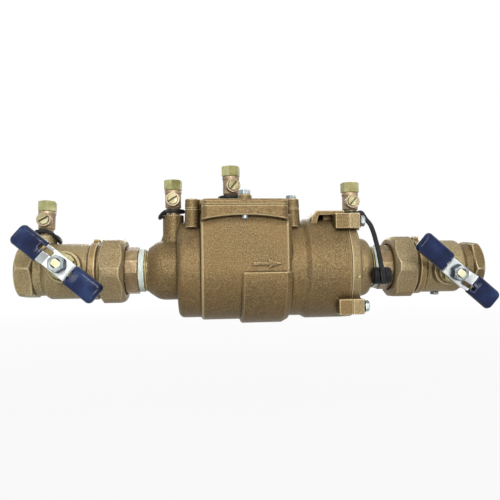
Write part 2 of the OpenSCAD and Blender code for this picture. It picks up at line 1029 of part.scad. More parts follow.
module outlet_cover() color(bronze) {
  difference() {
    union() {
      spun([[0, body_end + gap], [right_r - 0.3, body_end + gap], [right_r, body_end + 0.5],
        [right_r - 0.4, cover_flange_end - 1.6], [right_r - 2, cover_flange_end], [0, cover_flange_end]]);
      at_end_bolts() {
        translate([body_end + gap, -end_lug_r, -end_lug_r]) {
          cube([end_flange + 1 - gap, 2 * end_lug_r, 2 * end_lug_r]);
        }
      }
      bar(body_end - 2, body_end + 1, bore_r - 0.3);
      rotate([0, 90, 0]) {
        rotate_extrude() {
          translate([0, cover_flange_end - 1]) {
            square([hub_r, hub_out_x - hub_round - cover_flange_end + 1]);
          }
          translate([0, cover_flange_end]) {
            square([hub_r - hub_round, hub_out_x - cover_flange_end]);
          }
          translate([hub_r - hub_round, hub_out_x - hub_round]) {
            circle(r = hub_round);
          }
          translate([0, cover_flange_end - 1]) {
            polygon([[0, 0], [hub_r + 4, 0], [hub_r + 1.2, 2.4], [hub_r, 5.4], [0, 5.4]]);
          }
        }
      }
      translate([cock_at(4)[0], cock_at(4)[1], 30]) {
        cylinder(h = cock_at(4)[2] - 30, r = 7.3);
      }
    }
    bar(hub_out_x - 14, hub_out_x + 1, tail_thread_r + 0.1);
    bar(body_end - 5, hub_out_x, water_r + 1);
    spun([[0, body_end - 3], [30, body_end - 3], [water_r + 1, body_end + 3.5], [0, body_end + 3.5]]);
    at_end_bolts() {
      bar(body_end - 5, cover_flange_end + 10, bolt_r);
    }
    translate([cock_at(4)[0], cock_at(4)[1], cock_at(4)[2] - 6.2]) {
      cylinder(h = 20, r = 5);
    }
  }
}

module outlet_cover_o_ring() color(black) {
  translate([body_end - 1.05, 0, 0]) {
    rotate([0, 90, 0]) {
      face_ring(35.2, 1);
    }
  }
}

module outlet_cover_bolts() color(zinc) {
  at_end_bolts() {
    translate([cover_flange_end + 2.1 + gap, 0, 0]) {
      rotate([0, 90, 0]) {
        bolt(15);
      }
    }
  }
}

module outlet_cover_washers() color(resin) {
  at_end_bolts() {
    difference() {
      bar(cover_flange_end + 1 + gap, cover_flange_end + 2.1, 5.4);
      bar(cover_flange_end, cover_flange_end + 4, bolt_r + 0.2);
    }
  }
}

// Seat ring of a check valve
module check_seat(x) {
  difference() {
    union() {
      bar(x - 6, x + 1, 21);
      bar(x + gap, x + 5, 27.3);
      spun([[0, x + 4], [18.4, x + 4], [17.2, x + 6.6], [0, x + 6.6]]);
    }
    bar(x - 7, x + 8, seat_r);
    translate([x - 3, 0, 0]) {
      rotate([0, 90, 0]) {
        rotate_extrude() {
          translate([19.2, -1.3]) {
            square([4, 2.6]);
          }
        }
      }
    }
  }
}

// Cage with legs and a guide bush for the poppet stem
module check_cage(x) {
  difference() {
    union() {
      bar(x + 5.02, x + 8, 27.3);
      for (k = [0:3]) {
        rotate([90 * k + 45, 0, 0]) {
          translate([x + 6, -3, 24]) {
            cube([28, 6, 3]);
          }
        }
      }
      bar(x + 32, x + 35, 27.3);
      bar(x + 32, x + 36.5, 7);
    }
    bar(x + 4, x + 9, 24);
    bar(x + 30, x + 40, 3.5 + run);
    for (k = [0:3]) {
      rotate([90 * k, 0, 0]) {
        translate([x + 30, 0, 17.5]) {
          rotate([0, 90, 0]) {
            cylinder(h = 20, r = 5.5);
          }
        }
      }
    }
  }
}

// Poppet with a disc cup and a guided stem
module check_poppet(x) {
  difference() {
    union() {
      bar(x + 7.4, x + 12.4, 21.6);
      bar(x + 12, x + 35.5, 3.5);
      bar(x + 12, x + 15, 7);
    }
    bar(x + 6, x + 10, 20);
  }
}

// Soft disc of a poppet
module check_disc(x) {
  bar(x + 6.65, x + 9.98, 19.9);
}

// Points of the spring's centre line between two ends
function coil(x0, x1, n) = [
  for (i = [0:n])
    let (a = 360 * spring_turns * i / n)
    [x0 + (x1 - x0) * i / n, spring_r * cos(a), spring_r * sin(a)]
];

// Unit vector
function unit(v) = v / norm(v);

// Direction of a path at point i
function along(p, i) = unit(p[min(i + 1, len(p) - 1)] - p[max(i - 1, 0)]);

// Tube of a flat or round section along a path, flat side towards the given direction
module tube(path, half_w, half_t, sides, face) {
  last = len(path) - 1;
  points = [
    for (i = [0:last])
      let (t = along(path, i), w = unit(cross(t, face)), f = cross(w, t))
      for (j = [0:sides - 1])
        let (a = 360 * (j + 0.5) / sides, q = sides > 6 ? 1 / max(abs(cos(a)), abs(sin(a))) : 1)
        path[i] + w * half_w * cos(a) * min(q, 1.15) + f * half_t * sin(a) * min(q, 1.15)
  ];
  sides_a = [
    for (i = [0:last - 1])
      for (j = [0:sides - 1])
        [i * sides + j, i * sides + (j + 1) % sides, (i + 1) * sides + j]
  ];
  sides_b = [
    for (i = [0:last - 1])
      for (j = [0:sides - 1])
        [i * sides + (j + 1) % sides, (i + 1) * sides + (j + 1) % sides, (i + 1) * sides + j]
  ];
  start = [for (j = [1:sides - 2]) [0, j + 1, j]];
  finish = [for (j = [1:sides - 2]) [last * sides, last * sides + j, last * sides + j + 1]];
  polyhedron(points = points, faces = concat(sides_a, sides_b, start, finish), convexity = 10);
}

// Compression spring around the poppet stem
module check_spring(x) {
  path = coil(x + 12.4 + wire_r + gap, x + 32 - wire_r - gap, 8 * spring_turns);
  pitch = (19.6 - 2 * wire_r - 2 * gap) / spring_turns;
  echo("least gap of the spring to itself", pitch - 2 * wire_r);
  tube(path, wire_r, wire_r, 6, [1, 0, 0]);
}

module first_check_seat() color(resin) check_seat(check_1_x);
module first_check_cage() color(resin) check_cage(check_1_x);
module first_check_spring() color(steel) check_spring(check_1_x);
module first_check_poppet() color(resin) check_poppet(check_1_x);
module first_check_disc() color(black) check_disc(check_1_x);
module second_check_seat() color(resin) check_seat(check_2_x);
module second_check_cage() color(resin) check_cage(check_2_x);
module second_check_spring() color(steel) check_spring(check_2_x);
module second_check_poppet() color(resin) check_poppet(check_2_x);
module second_check_disc() color(black) check_disc(check_2_x);

module check_o_rings() color(black) {
  for (x = [check_1_x, check_2_x]) {
    ring_x(x - 3, 20.1, 0.85);
  }
}

module inlet_valve_body() color(bronze) at_inlet() valve_body(true);
module outlet_valve_body() color(bronze) at_outlet() valve_body(false);
module inlet_union_nut() color(bronze) union_nut(4);
module outlet_union_nut() color(bronze) translate([mirror_len, 0, 0]) mirror([1, 0, 0]) union_nut(-1);
module inlet_tailpiece() color(machined) tailpiece(5.4);
module outlet_tailpiece() color(machined) translate([mirror_len, 0, 0]) mirror([1, 0, 0]) tailpiece(18.4);
module inlet_seat_retainer() color(brass) at_inlet() seat_retainer();
module outlet_seat_retainer() color(brass) at_outlet() seat_retainer();
module inlet_packing_nut() color(brass) at_inlet() packing_nut();
module outlet_packing_nut() color(brass) at_outlet() packing_nut();
module inlet_ball() color(chrome) at_turn(0, handle_turn) ball();
module outlet_ball() color(chrome) at_turn(1, handle_turn) ball();
module inlet_stem() color(brass) at_turn(0, handle_turn) stem();
module outlet_stem() color(brass) at_turn(1, handle_turn) stem();
module inlet_handle() color(zinc) at_turn(0, handle_turn) rotate([0, 0, 180]) handle(0);
module outlet_handle() color(zinc) at_turn(1, handle_turn) handle(outlet_wing_extra);
module inlet_handle_grips() color(navy) at_turn(0, handle_turn) rotate([0, 0, 180]) handle_grips(0);
module outlet_handle_grips() color(navy) at_turn(1, handle_turn) handle_grips(outlet_wing_extra);
module inlet_handle_nut() color(zinc) at_turn(0, handle_turn) handle_nut();
module outlet_handle_nut() color(zinc) at_turn(1, handle_turn) handle_nut();

module outlet_tapping_plug() color(zinc) {
  at_outlet() {
    translate([stem_x, 0, -shell_r - 2.4]) {
      cylinder(h = 2.3, r = 6.6 / 2 / cos(30), $fn = 6);
      cylinder(h = 5.6, r = 2.5);
    }
  }
}

module ball_seats() color(white) {
  at_inlet() {
    ball_seat(stem_x - ball_r + gap, stem_x - 7.6);
    ball_seat(stem_x + 7.6, stem_x + ball_r);
  }
  at_outlet() {
    ball_seat(stem_x - ball_r + gap, stem_x - 7.6);
    ball_seat(stem_x + 7.6, stem_x + ball_r);
  }
}

module stem_packings() color(white) {
  at_inlet() {
    stem_packing();
  }
  at_outlet() {
    stem_packing();
  }
}

module union_o_rings() color(black) {
  ring_x(valve_end - 0.85, 19.1, 0.8);
  translate([mirror_len, 0, 0]) {
    mirror([1, 0, 0]) {
      ring_x(valve_end - 0.85, 19.1, 0.8);
    }
  }
}

module thread_tapes() color(white) {
  thread_tape();
  translate([mirror_len, 0, 0]) {
    mirror([1, 0, 0]) {
      thread_tape();
    }
  }
}

module test_cock_1_body() color(machined) at_cock(1) cock_body_part();
module test_cock_2_body() color(machined) at_cock(2) cock_body_part();
module test_cock_3_body() color(machined) at_cock(3) cock_body_part();
module test_cock_4_body() color(machined) at_cock(4) cock_body_part();
module test_cock_1_outlet() color(brass) at_cock(1) cock_outlet_part(1);
module test_cock_2_outlet() color(brass) at_cock(2) cock_outlet_part(2);
module test_cock_3_outlet() color(brass) at_cock(3) cock_outlet_part(3);
module test_cock_4_outlet() color(brass) at_cock(4) cock_outlet_part(4);
module test_cock_1_plug() color(brass) at_cock(1) cock_plug_part(1);
module test_cock_2_plug() color(brass) at_cock(2) cock_plug_part(2);
module test_cock_3_plug() color(brass) at_cock(3) cock_plug_part(3);
module test_cock_4_plug() color(brass) at_cock(4) cock_plug_part(4);

// Smooth step from 0 to 1 between two values
function ease(t, a, b) = let (u = min(max((t - a) / (b - a), 0), 1)) u * u * (3 - 2 * u);

// Soft ring around a test cock's foot that hangs down on one side
module soft_loop(towards, reach, drop, half_w) {
  n = 48;
  k = 8;
  points = [
    for (i = [0:n - 1])
      let (a = 360 * i / n, c = cos(a - towards), r = 7.9 + (reach - 7.9) * ease(c, 0, 0.6),
        z = 3.2 - drop * pow(max(c, 0), 2.5))
      for (j = [0:k - 1])
        let (b = 360 * (j + 0.5) / k, q = r + half_w * cos(b))
        [q * cos(a), q * sin(a), z + 1.5 * sin(b)]
  ];
  sides_a = [
    for (i = [0:n - 1])
      for (j = [0:k - 1])
        [i * k + j, i * k + (j + 1) % k, ((i + 1) % n) * k + j]
  ];
  sides_b = [
    for (i = [0:n - 1])
      for (j = [0:k - 1])
        [i * k + (j + 1) % k, ((i + 1) % n) * k + (j + 1) % k, ((i + 1) % n) * k + j]
  ];
  polyhedron(points = points, faces = concat(sides_a, sides_b), convexity = 6);
}

module tether_loops() color(black) {
  at_cock(1) {
    soft_loop(0, 10.7, 7.5, 1.3);
  }
  at_cock(2) {
    soft_loop(180, 10.7, 5, 1.3);
  }
  at_cock(3) {
    soft_loop(180, 9, 0.2, 1.3);
  }
  at_cock(4) {
    translate([0, 0, 2.4]) {
      difference() {
        cylinder(h = 2.2, r = 7.4);
        translate([0, 0, -1]) {
          cylinder(h = 9, r = 5.5);
        }
      }
    }
  }
}

// Points that the strap passes, from the fourth test cock to the hanging cap
strap_stops = [
  [269.9, -9, 43.6], [271.6, -13, 38.6], [273.7, -17, 34.2], [275.1, -20.5, 27.9], [275.9, -24, 20.6],
  [276.4, -28.5, 12.2], [276.1, -34, 3.1], [275.4, -39.9, -4.9], [276.1, -40.2, -12.8]
];

// Smooth curve through the strap's points
function blend(p, i, t) =
  let (a = p[max(i - 1, 0)], b = p[i], c = p[i + 1], d = p[min(i + 2, len(p) - 1)])
  0.5 * (2 * b + (c - a) * t + (2 * a - 5 * b + 4 * c - d) * t * t
    + (3 * b - a - 3 * c + d) * t * t * t);

strap_path = [
  for (i = [0:len(strap_stops) - 2])
    for (k = [0:(i == len(strap_stops) - 2 ? 4 : 3)])
      blend(strap_stops, i, k / 4)
];

module tether_strap() color(black) {
  tube(strap_path, strap_w / 2, strap_t / 2, 8, [0.25, -0.95, 0.1]);
}

module tether_cap() color(black) {
  translate(cap_at) {
    rotate([0, 90, 0]) {
      difference() {
        translate([0, 0, -cap_len / 2]) {
          rotate_extrude() {
            polygon([[0, 0], [cap_r - 1, 0], [cap_r, 0.8], [cap_r, 2.6], [cap_r - 0.8, 3],
              [cap_r - 0.8, 4], [cap_r, 4.4], [cap_r, 11], [cap_r - 0.8, 11.4], [cap_r - 0.8, 12.4],
              [cap_r, 12.8], [cap_r, cap_len - 0.6], [cap_r - 0.8, cap_len], [0, cap_len]]);
          }
        }
        translate([0, 0, -cap_len / 2 + 4]) {
          cylinder(h = cap_len, r = cap_r - 2);
        }
      }
    }
  }
}

main_body();
top_cover();
cover_o_ring();
cover_bolts();
outlet_cover();
outlet_cover_o_ring();
outlet_cover_bolts();
outlet_cover_washers();
first_check_seat();
first_check_cage();
first_check_spring();
first_check_poppet();
first_check_disc();
second_check_seat();
second_check_cage();
second_check_spring();
second_check_poppet();
second_check_disc();
check_o_rings();
inlet_valve_body();
inlet_union_nut();
inlet_tailpiece();
inlet_seat_retainer();
inlet_packing_nut();
inlet_ball();
inlet_stem();
inlet_handle();
inlet_handle_grips();
inlet_handle_nut();
outlet_valve_body();
outlet_union_nut();
outlet_tailpiece();
outlet_seat_retainer();
outlet_packing_nut();
outlet_ball();
outlet_stem();
outlet_handle();
outlet_handle_grips();
outlet_handle_nut();
outlet_tapping_plug();
ball_seats();
stem_packings();
union_o_rings();
thread_tapes();
test_cock_1_body();
test_cock_1_outlet();
test_cock_1_plug();
test_cock_2_body();
test_cock_2_outlet();
test_cock_2_plug();
test_cock_3_body();
test_cock_3_outlet();
test_cock_3_plug();
test_cock_4_body();
test_cock_4_outlet();
test_cock_4_plug();
tether_loops();
tether_strap();
tether_cap();
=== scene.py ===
"""A cast bronze double check backflow preventer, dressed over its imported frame."""
import json
import math

import bmesh
import bpy
from mathutils import Matrix, Vector, noise


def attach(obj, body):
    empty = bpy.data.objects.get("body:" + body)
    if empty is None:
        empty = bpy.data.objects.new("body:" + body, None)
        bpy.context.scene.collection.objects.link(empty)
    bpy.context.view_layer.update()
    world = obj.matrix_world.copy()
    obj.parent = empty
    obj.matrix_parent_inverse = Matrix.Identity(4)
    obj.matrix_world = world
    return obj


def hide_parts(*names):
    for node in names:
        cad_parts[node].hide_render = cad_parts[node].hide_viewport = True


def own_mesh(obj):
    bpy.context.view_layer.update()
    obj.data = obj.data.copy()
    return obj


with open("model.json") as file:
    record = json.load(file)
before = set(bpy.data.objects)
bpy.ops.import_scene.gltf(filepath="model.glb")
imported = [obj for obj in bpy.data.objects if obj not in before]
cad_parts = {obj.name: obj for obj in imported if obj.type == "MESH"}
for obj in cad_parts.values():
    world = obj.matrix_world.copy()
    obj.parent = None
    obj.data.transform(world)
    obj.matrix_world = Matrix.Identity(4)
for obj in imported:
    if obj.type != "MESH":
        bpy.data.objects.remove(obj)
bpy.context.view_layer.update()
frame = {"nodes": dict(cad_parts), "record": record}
nodes = frame["nodes"]
MM = 0.001

# Values repeated from the part's source, in millimetres and degrees.
TOTAL_LEN, OUTLET_TRIM = 369.0, 4.0
MIRROR_LEN = TOTAL_LEN + OUTLET_TRIM
STEM_X = 38.4
INLET_ROLL, OUTLET_ROLL = 7.0, 7.0
HANDLE_TURN = 39.5
HANDLE_LEN, HANDLE_Z, HANDLE_T = 70.0, 37.6, 2.4
WING_RISE, FLAT_HALF, BEND_LEN, BEND_LEAD, OUTLET_WING_EXTRA = 5.0, 9.8, 4.4, 0.8, 3.6
GRIP_T = 5.4
# Start of the vinyl on each wing, 1 for the wing with the long slot and -1 for the other.
GRIP_FROM = {1: 13.4, -1: 10.8}
# Far end and sides of the opening in each wing: a long slot and a small window.
WING_OPENING = {1: (17.0, -4.8, -1.0), -1: (13.2, -1.8, 1.8)}
VALVE_BAND = (53.5, 61.0)
PIPE_R, PIPE_DEPTH, OUTLET_PIPE_DEPTH = 15.2, 17.0, 13.0
TAIL_END, HUB_X, THREAD_R = 90.3, 97.8, 16.4
COCK_1 = (17.8, 0.0, 27.6)
COCKS = {2: (117.0, 0.0, 43.5), 3: (163.0, -10.0, 53.0), 4: (260.0, -8.0, 40.6)}
COCK_3_TURN = 10.0
CHECKS = {"first": 130.0, "second": 213.5}
SPRING_FROM, SPRING_TO, SPRING_R, WIRE_R, SPRING_TURNS = 12.5, 31.9, 10.0, 0.9, 4
STRAP_STOPS = [
    (269.9, -9, 43.6), (271.6, -13, 38.6), (273.7, -17, 34.2), (275.1, -20.5, 27.9), (275.9, -24, 20.6),
    (276.4, -28.5, 12.2), (276.1, -34, 3.1), (275.4, -39.9, -4.9), (276.1, -40.2, -12.8),
]
STRAP_W, STRAP_T = 3.8, 2.0

# The cap is fitted to the photograph, a little smaller than its solid.
CAP_AT, CAP_R, CAP_LEN = (277.0, -31.6, -6.8), 6.8, 14.2

# Camera, matched to the photograph. The image is 500 pixels wide.
IMAGE_PX = 500.0
CAM_AT = Vector((143.783, -428.413, 0.193))
CAM_AZ, CAM_EL, CAM_ROLL = -6.0, -1.981, 0.853
CAM_F_PX, CAM_CENTRE_PX = 528.66, 262.8
SENSOR = 36.0
CLIP_START = 0.01


def make_camera():
    cam = bpy.data.objects.new("camera", bpy.data.cameras.new("camera"))
    bpy.context.scene.collection.objects.link(cam)
    az, el = math.radians(CAM_AZ), math.radians(CAM_EL)
    back = Vector((math.sin(az) * math.cos(el), -math.cos(az) * math.cos(el), math.sin(el)))
    look = (-back).to_track_quat("-Z", "Y").to_matrix().to_4x4()
    roll = Matrix.Rotation(math.radians(-CAM_ROLL), 4, "Z")
    cam.matrix_world = Matrix.Translation(CAM_AT * MM) @ look @ roll
    cam.data.sensor_width = SENSOR
    cam.data.lens = CAM_F_PX * SENSOR / IMAGE_PX
    cam.data.shift_x = (IMAGE_PX / 2 - CAM_CENTRE_PX) / IMAGE_PX
    cam.data.clip_start = CLIP_START
    bpy.context.scene.camera = cam


make_camera()


# Materials. Colours are written as screen colours, 0 to 255.
def rgb(r, g, b):
    """Linear colour of a screen colour."""
    return tuple(((c / 255 + 0.055) / 1.055) ** 2.4 for c in (r, g, b))


class Mat:
    """A small helper that lays out one material's nodes."""

    def __init__(self, name):
        self.mat = bpy.data.materials.new(name)
        self.mat.use_nodes = True
        self.tree = self.mat.node_tree
        self.tree.nodes.clear()
        self.out = self.add("ShaderNodeOutputMaterial")
        self.bsdf = self.add("ShaderNodeBsdfPrincipled")
        self.link(self.bsdf.outputs[0], self.out.inputs[0])
        self.coord = self.add("ShaderNodeTexCoord").outputs["Object"]

    def add(self, kind, **settings):
        n = self.tree.nodes.new(kind)
        for k, v in settings.items():
            setattr(n, k, v)
        return n

    def link(self, a, b):
        self.tree.links.new(a, b)

    def put(self, socket, value):
        if isinstance(value, bpy.types.NodeSocket):
            self.link(value, socket)
        else:
            socket.default_value = value

    def noise(self, scale, detail=4.0, rough=0.5, stretch=None):
        n = self.add("ShaderNodeTexNoise")
        n.inputs["Scale"].default_value = scale
        n.inputs["Detail"].default_value = detail
        n.inputs["Roughness"].default_value = rough
        co = self.coord
        if stretch:
            m = self.add("ShaderNodeMapping")
            m.inputs["Scale"].default_value = stretch
            self.link(co, m.inputs["Vector"])
            co = m.outputs[0]
        self.link(co, n.inputs["Vector"])
        return n.outputs["Fac"]

    def ramp(self, fac, stops):
        r = self.add("ShaderNodeValToRGB")
        e = r.color_ramp.elements
        while len(e) < len(stops):
            e.new(0.5)
        for el, (pos, col) in zip(e, stops):
            el.position = pos
            el.color = (*col, 1.0)
        self.link(fac, r.inputs[0])
        return r.outputs[0]

    def span(self, fac, a, b, lo, hi):
        m = self.add("ShaderNodeMapRange")
        self.put(m.inputs["Value"], fac)
        for k, v in (("From Min", a), ("From Max", b), ("To Min", lo), ("To Max", hi)):
            m.inputs[k].default_value = v
        return m.outputs[0]

    def mix(self, fac, a, b):
        m = self.add("ShaderNodeMix", data_type="RGBA")
        self.put(m.inputs[0], fac)
        for s, v in ((m.inputs[6], a), (m.inputs[7], b)):
            if isinstance(v, tuple):
                s.default_value = (*v, 1.0)
            else:
                self.link(v, s)
        return m.outputs[2]

    def edge(self, lo, hi, most):
        """Grows from 0 to most where the surface bends from lo to hi, 0.5 being flat."""
        g = self.add("ShaderNodeNewGeometry")
        return self.span(g.outputs["Pointiness"], lo, hi, 0.0, most)

    def shade_occlusion(self, reach, most):
        """Grows from 0 to most in slots and corners with other surfaces within reach millimetres; a mask for
        painted shade.
        """
        a = self.add("ShaderNodeAmbientOcclusion", samples=8)
        a.inputs["Distance"].default_value = reach * MM
        return self.span(a.outputs["AO"], 0.75, 0.25, 0.0, most)

    def within(self, bands):
        """1 inside any of the given ranges along the pipe, in millimetres, 0 outside."""
        x = self.add("ShaderNodeSeparateXYZ")
        self.link(self.coord, x.inputs[0])
        total = None
        for lo, hi in bands:
            c = self.add("ShaderNodeMath", operation="COMPARE")
            self.link(x.outputs[0], c.inputs[0])
            c.inputs[1].default_value = (lo + hi) / 2 * MM
            c.inputs[2].default_value = (hi - lo) / 2 * MM
            if total is None:
                total = c.outputs[0]
            else:
                either = self.add("ShaderNodeMath", operation="MAXIMUM")
                self.link(total, either.inputs[0])
                self.link(c.outputs[0], either.inputs[1])
                total = either.outputs[0]
        return total

    def facing(self, axis, lo, hi):
        """1 where the node's own surface looks along axis, 0 on its sides; a mask for painted shade."""
        d = self.add("ShaderNodeVectorMath", operation="DOT_PRODUCT")
        self.link(self.add("ShaderNodeTexCoord").outputs["Normal"], d.inputs[0])
        d.inputs[1].default_value = axis
        return self.span(d.outputs["Value"], lo, hi, 0.0, 1.0)

    def bump(self, height, strength, distance, below=None):
        b = self.add("ShaderNodeBump")
        b.inputs["Strength"].default_value = strength
        b.inputs["Distance"].default_value = distance
        self.link(height, b.inputs["Height"])
        if below:
            self.link(below, b.inputs["Normal"])
        return b.outputs[0]

    def finish(self, color, rough, normal=None, **sockets):
        self.put(self.bsdf.inputs["Base Color"], color)
        self.put(self.bsdf.inputs["Roughness"], rough)
        if normal:
            self.link(normal, self.bsdf.inputs["Normal"])
        for k, v in sockets.items():
            self.bsdf.inputs[k.replace("_", " ")].default_value = v
        return self.mat


# A russet for clouds, and the dark used for painted shade in creases and hollows.
RUSSET, PAINTED_SHADE = rgb(138, 108, 68), rgb(46, 33, 16)


def cast_bronze(name, dark, mid, light, speck_and_highlight, grain=1.0, bands=(), wear_and_highlight_rims=()):
    """Sand-cast bronze: brown clouds, sandy grain, a painted highlight on corners, partly worn metal, and
    painted shade in creases and hollows.

    Each of bands has the ranges along the pipe that it tints, its two tones and its weight.
    Rims are the ranges where blunt corners get the painted highlight too, partly wear."""
    m = Mat(name)
    broad = m.noise(32, 3, 0.55)
    cloud = m.noise(150, 3, 0.6)
    sand = m.noise(1000, 2, 0.55)
    fine = m.noise(2600, 2, 0.6)
    tone = m.ramp(sand, [(0.33, dark), (0.5, mid), (0.66, light)])
    for ranges, low, high, weight in bands:
        share = m.span(m.within(ranges), 0.0, 1.0, 0.0, weight)
        tone = m.mix(share, tone, m.ramp(sand, [(0.35, low), (0.65, high)]))
    tone = m.mix(m.span(broad, 0.4, 0.65, 0.0, 0.3), tone, RUSSET)
    tone = m.mix(m.span(cloud, 0.52, 0.75, 0.0, 0.3), tone, dark)
    tone = m.mix(m.span(fine, 0.6, 0.72, 0.0, 0.35), tone, speck_and_highlight)
    # Painted highlight on convex corners, partly worn metal.
    tone = m.mix(m.edge(0.512, 0.54, 0.85), tone, speck_and_highlight)
    # Painted shade in creases and in hollows near other surfaces.
    tone = m.mix(m.edge(0.492, 0.46, 0.9), tone, PAINTED_SHADE)
    tone = m.mix(m.shade_occlusion(6.0, 0.75), tone, PAINTED_SHADE)
    # Painted highlight, partly wear, on blunt corners within the rims.
    if wear_and_highlight_rims:
        tone = m.mix(m.edge(0.502, 0.514, 0.6), tone, m.mix(m.within(wear_and_highlight_rims), tone, speck_and_highlight))
    n = m.bump(cloud, 0.2, 0.0005 * grain)
    n = m.bump(sand, 0.8, 0.0005 * grain, n)
    n = m.bump(fine, 0.3, 0.0001 * grain, n)
    return m.finish(tone, m.span(sand, 0.3, 0.7, 0.28, 0.44), n, Metallic=0.32, Specular_IOR_Level=0.06)


def machined(name, dark, mid, light, rough, metallic, lines=(1, 1, 1), slot_shade=None, wear_and_shade=None):
    """Turned or milled metal with fine tool lines, with painted shade in slots.

    Flats that look along the given axis are darkened with painted shade."""
    m = Mat(name)
    turned = m.noise(1500, 3, 0.6, lines)
    cloud = m.noise(110, 4, 0.6)
    tone = m.ramp(cloud, [(0.3, dark), (0.5, mid), (0.72, light)])
    tone = m.mix(m.span(turned, 0.5, 0.7, 0.0, 0.4), tone, dark)
    # Painted shade on the flats that look along the given axis.
    if wear_and_shade:
        axis, shade_tone = wear_and_shade
        shade_tone = m.mix(m.span(cloud, 0.4, 0.65, 0.0, 0.35), shade_tone, mid)
        tone = m.mix(m.facing(axis, 0.84, 0.91), tone, shade_tone)
    # Convex edges lighter: partly worn metal, partly painted highlight.
    tone = m.mix(m.edge(0.52, 0.6, 0.5), tone, light)
    # Painted shade in slots.
    if slot_shade:
        tone = m.mix(m.shade_occlusion(2.2, 1.0), tone, slot_shade)
    n = m.bump(turned, 0.25, 0.00008)
    n = m.bump(cloud, 0.1, 0.0003, n)
    return m.finish(tone, m.span(turned, 0.3, 0.7, *rough), n, Metallic=metallic)


def zinc(name, dark, mid, light, metallic, axis=None, side=None, rough=(0.2, 0.4), gloss=0.5):
    """Bright zinc plate with grey handling marks, with painted shade on the sides of a part that looks along
    axis.
    """
    m = Mat(name)
    cloud = m.noise(80, 4, 0.65)
    scuff = m.noise(650, 4, 0.7, (1.0, 1.0, 0.25))
    tone = m.ramp(cloud, [(0.3, dark), (0.52, mid), (0.7, light)])
    tone = m.mix(m.span(scuff, 0.62, 0.74, 0.0, 0.4), tone, dark)
    # Convex edges lighter: partly worn plating, partly painted highlight.
    tone = m.mix(m.edge(0.515, 0.58, 0.6), tone, light)
    # Painted shade on the sides that don't look along axis.
    if axis:
        shaded = m.mix(m.span(cloud, 0.4, 0.6, 0.0, 0.5), side, dark)
        tone = m.mix(m.facing(axis, 0.3, 0.6), shaded, tone)
    return m.finish(tone, m.span(scuff, 0.3, 0.7, *rough), m.bump(scuff, 0.15, 0.0001),
                    Metallic=metallic, Specular_IOR_Level=gloss)


def vinyl(name):
    """Thick dipped vinyl, glossy, with dust and rubbed spots."""
    m = Mat(name)
    cloud = m.noise(60, 3, 0.5)
    skin = m.noise(300, 2, 0.5)
    dust = m.noise(1400, 3, 0.7)
    tone = m.ramp(cloud, [(0.35, rgb(20, 28, 60)), (0.55, rgb(32, 45, 84)), (0.75, rgb(52, 74, 118))])
    tone = m.mix(m.span(dust, 0.68, 0.8, 0.0, 0.3), tone, rgb(96, 108, 140))
    n = m.bump(skin, 0.2, 0.0004)
    n = m.bump(cloud, 0.25, 0.0012, n)
    return m.finish(tone, m.span(cloud, 0.35, 0.65, 0.14, 0.24), n, Specular_IOR_Level=0.2)


def rubber(name, base, wear_and_shade, rough):
    """Dull black rubber with worn clouds and grey dust."""
    m = Mat(name)
    cloud = m.noise(130, 3, 0.5)
    fine = m.noise(1300, 3, 0.6)
    tone = m.mix(m.span(cloud, 0.35, 0.65, 0.0, 1.0), base, wear_and_shade)
    tone = m.mix(m.span(fine, 0.64, 0.78, 0.0, 0.3), tone, rgb(84, 86, 88))
    n = m.bump(fine, 0.3, 0.0002)
    return m.finish(tone, m.span(fine, 0.3, 0.7, *rough), n, Specular_IOR_Level=0.3)


def tape(name):
    """Layers of white thread tape, with thread crests and brass showing through."""
    m = Mat(name)
    wrap = m.noise(420, 4, 0.6, (3.0, 0.5, 0.5))
    cloud = m.noise(160, 3, 0.5)
    tone = m.ramp(wrap, [(0.3, rgb(188, 202, 192)), (0.5, rgb(220, 231, 222)), (0.7, rgb(240, 246, 240))])
    tone = m.mix(m.span(cloud, 0.58, 0.75, 0.0, 0.35), tone, rgb(190, 178, 140))
    return m.finish(tone, m.span(wrap, 0.3, 0.7, 0.35, 0.6), m.bump(wrap, 0.5, 0.0003))


def moulded(name, base, light):
    """Moulded plastic with a fine grain."""
    m = Mat(name)
    fine = m.noise(900, 3, 0.6)
    tone = m.mix(m.span(fine, 0.3, 0.7, 0.0, 1.0), base, light)
    return m.finish(tone, m.span(fine, 0.3, 0.7, 0.35, 0.55), m.bump(fine, 0.2, 0.0002))


# Ranges along the pipe: turned rings with tones of their own, the outlet hexagon in darker tones, and rims
# with a painted highlight on blunt corners, partly wear.
COPPER_RINGS = (VALVE_BAND, (MIRROR_LEN - VALVE_BAND[1], MIRROR_LEN - VALVE_BAND[0]))
OUTLET_HEX = ((350.6, 371.0),)
CENTRE_WEAR_AND_HIGHLIGHT_RIMS = ((138.6, 141.2), (202.4, 205.0))
VALVE_BANDS = (
    (COPPER_RINGS, rgb(140, 112, 74), rgb(178, 148, 105), 0.85),
    (OUTLET_HEX, rgb(92, 76, 50), rgb(126, 108, 76), 0.9),
)
# Cast metals: dark, middle and light tone, then the tone of grain specks and of the painted highlight on
# corners, partly wear.
BRONZE = cast_bronze(
    "cast_bronze", rgb(94, 77, 51), rgb(118, 99, 68), rgb(146, 126, 89), rgb(204, 184, 142), wear_and_highlight_rims=CENTRE_WEAR_AND_HIGHLIGHT_RIMS)
VALVE_BRONZE = cast_bronze(
    "valve_bronze", rgb(142, 127, 90), rgb(164, 149, 111), rgb(184, 169, 130), rgb(220, 205, 163),
    bands=VALVE_BANDS)
NUT_BRONZE = cast_bronze(
    "nut_bronze", rgb(132, 115, 84), rgb(154, 137, 104), rgb(174, 158, 123), rgb(216, 200, 162), grain=0.5)
# The outlet cover's bronze is the body's made lighter: painted light.
LIT_COVER_BRONZE = cast_bronze(
    "lit_cover_bronze", rgb(126, 109, 77), rgb(148, 131, 97), rgb(170, 152, 115), rgb(214, 197, 157))
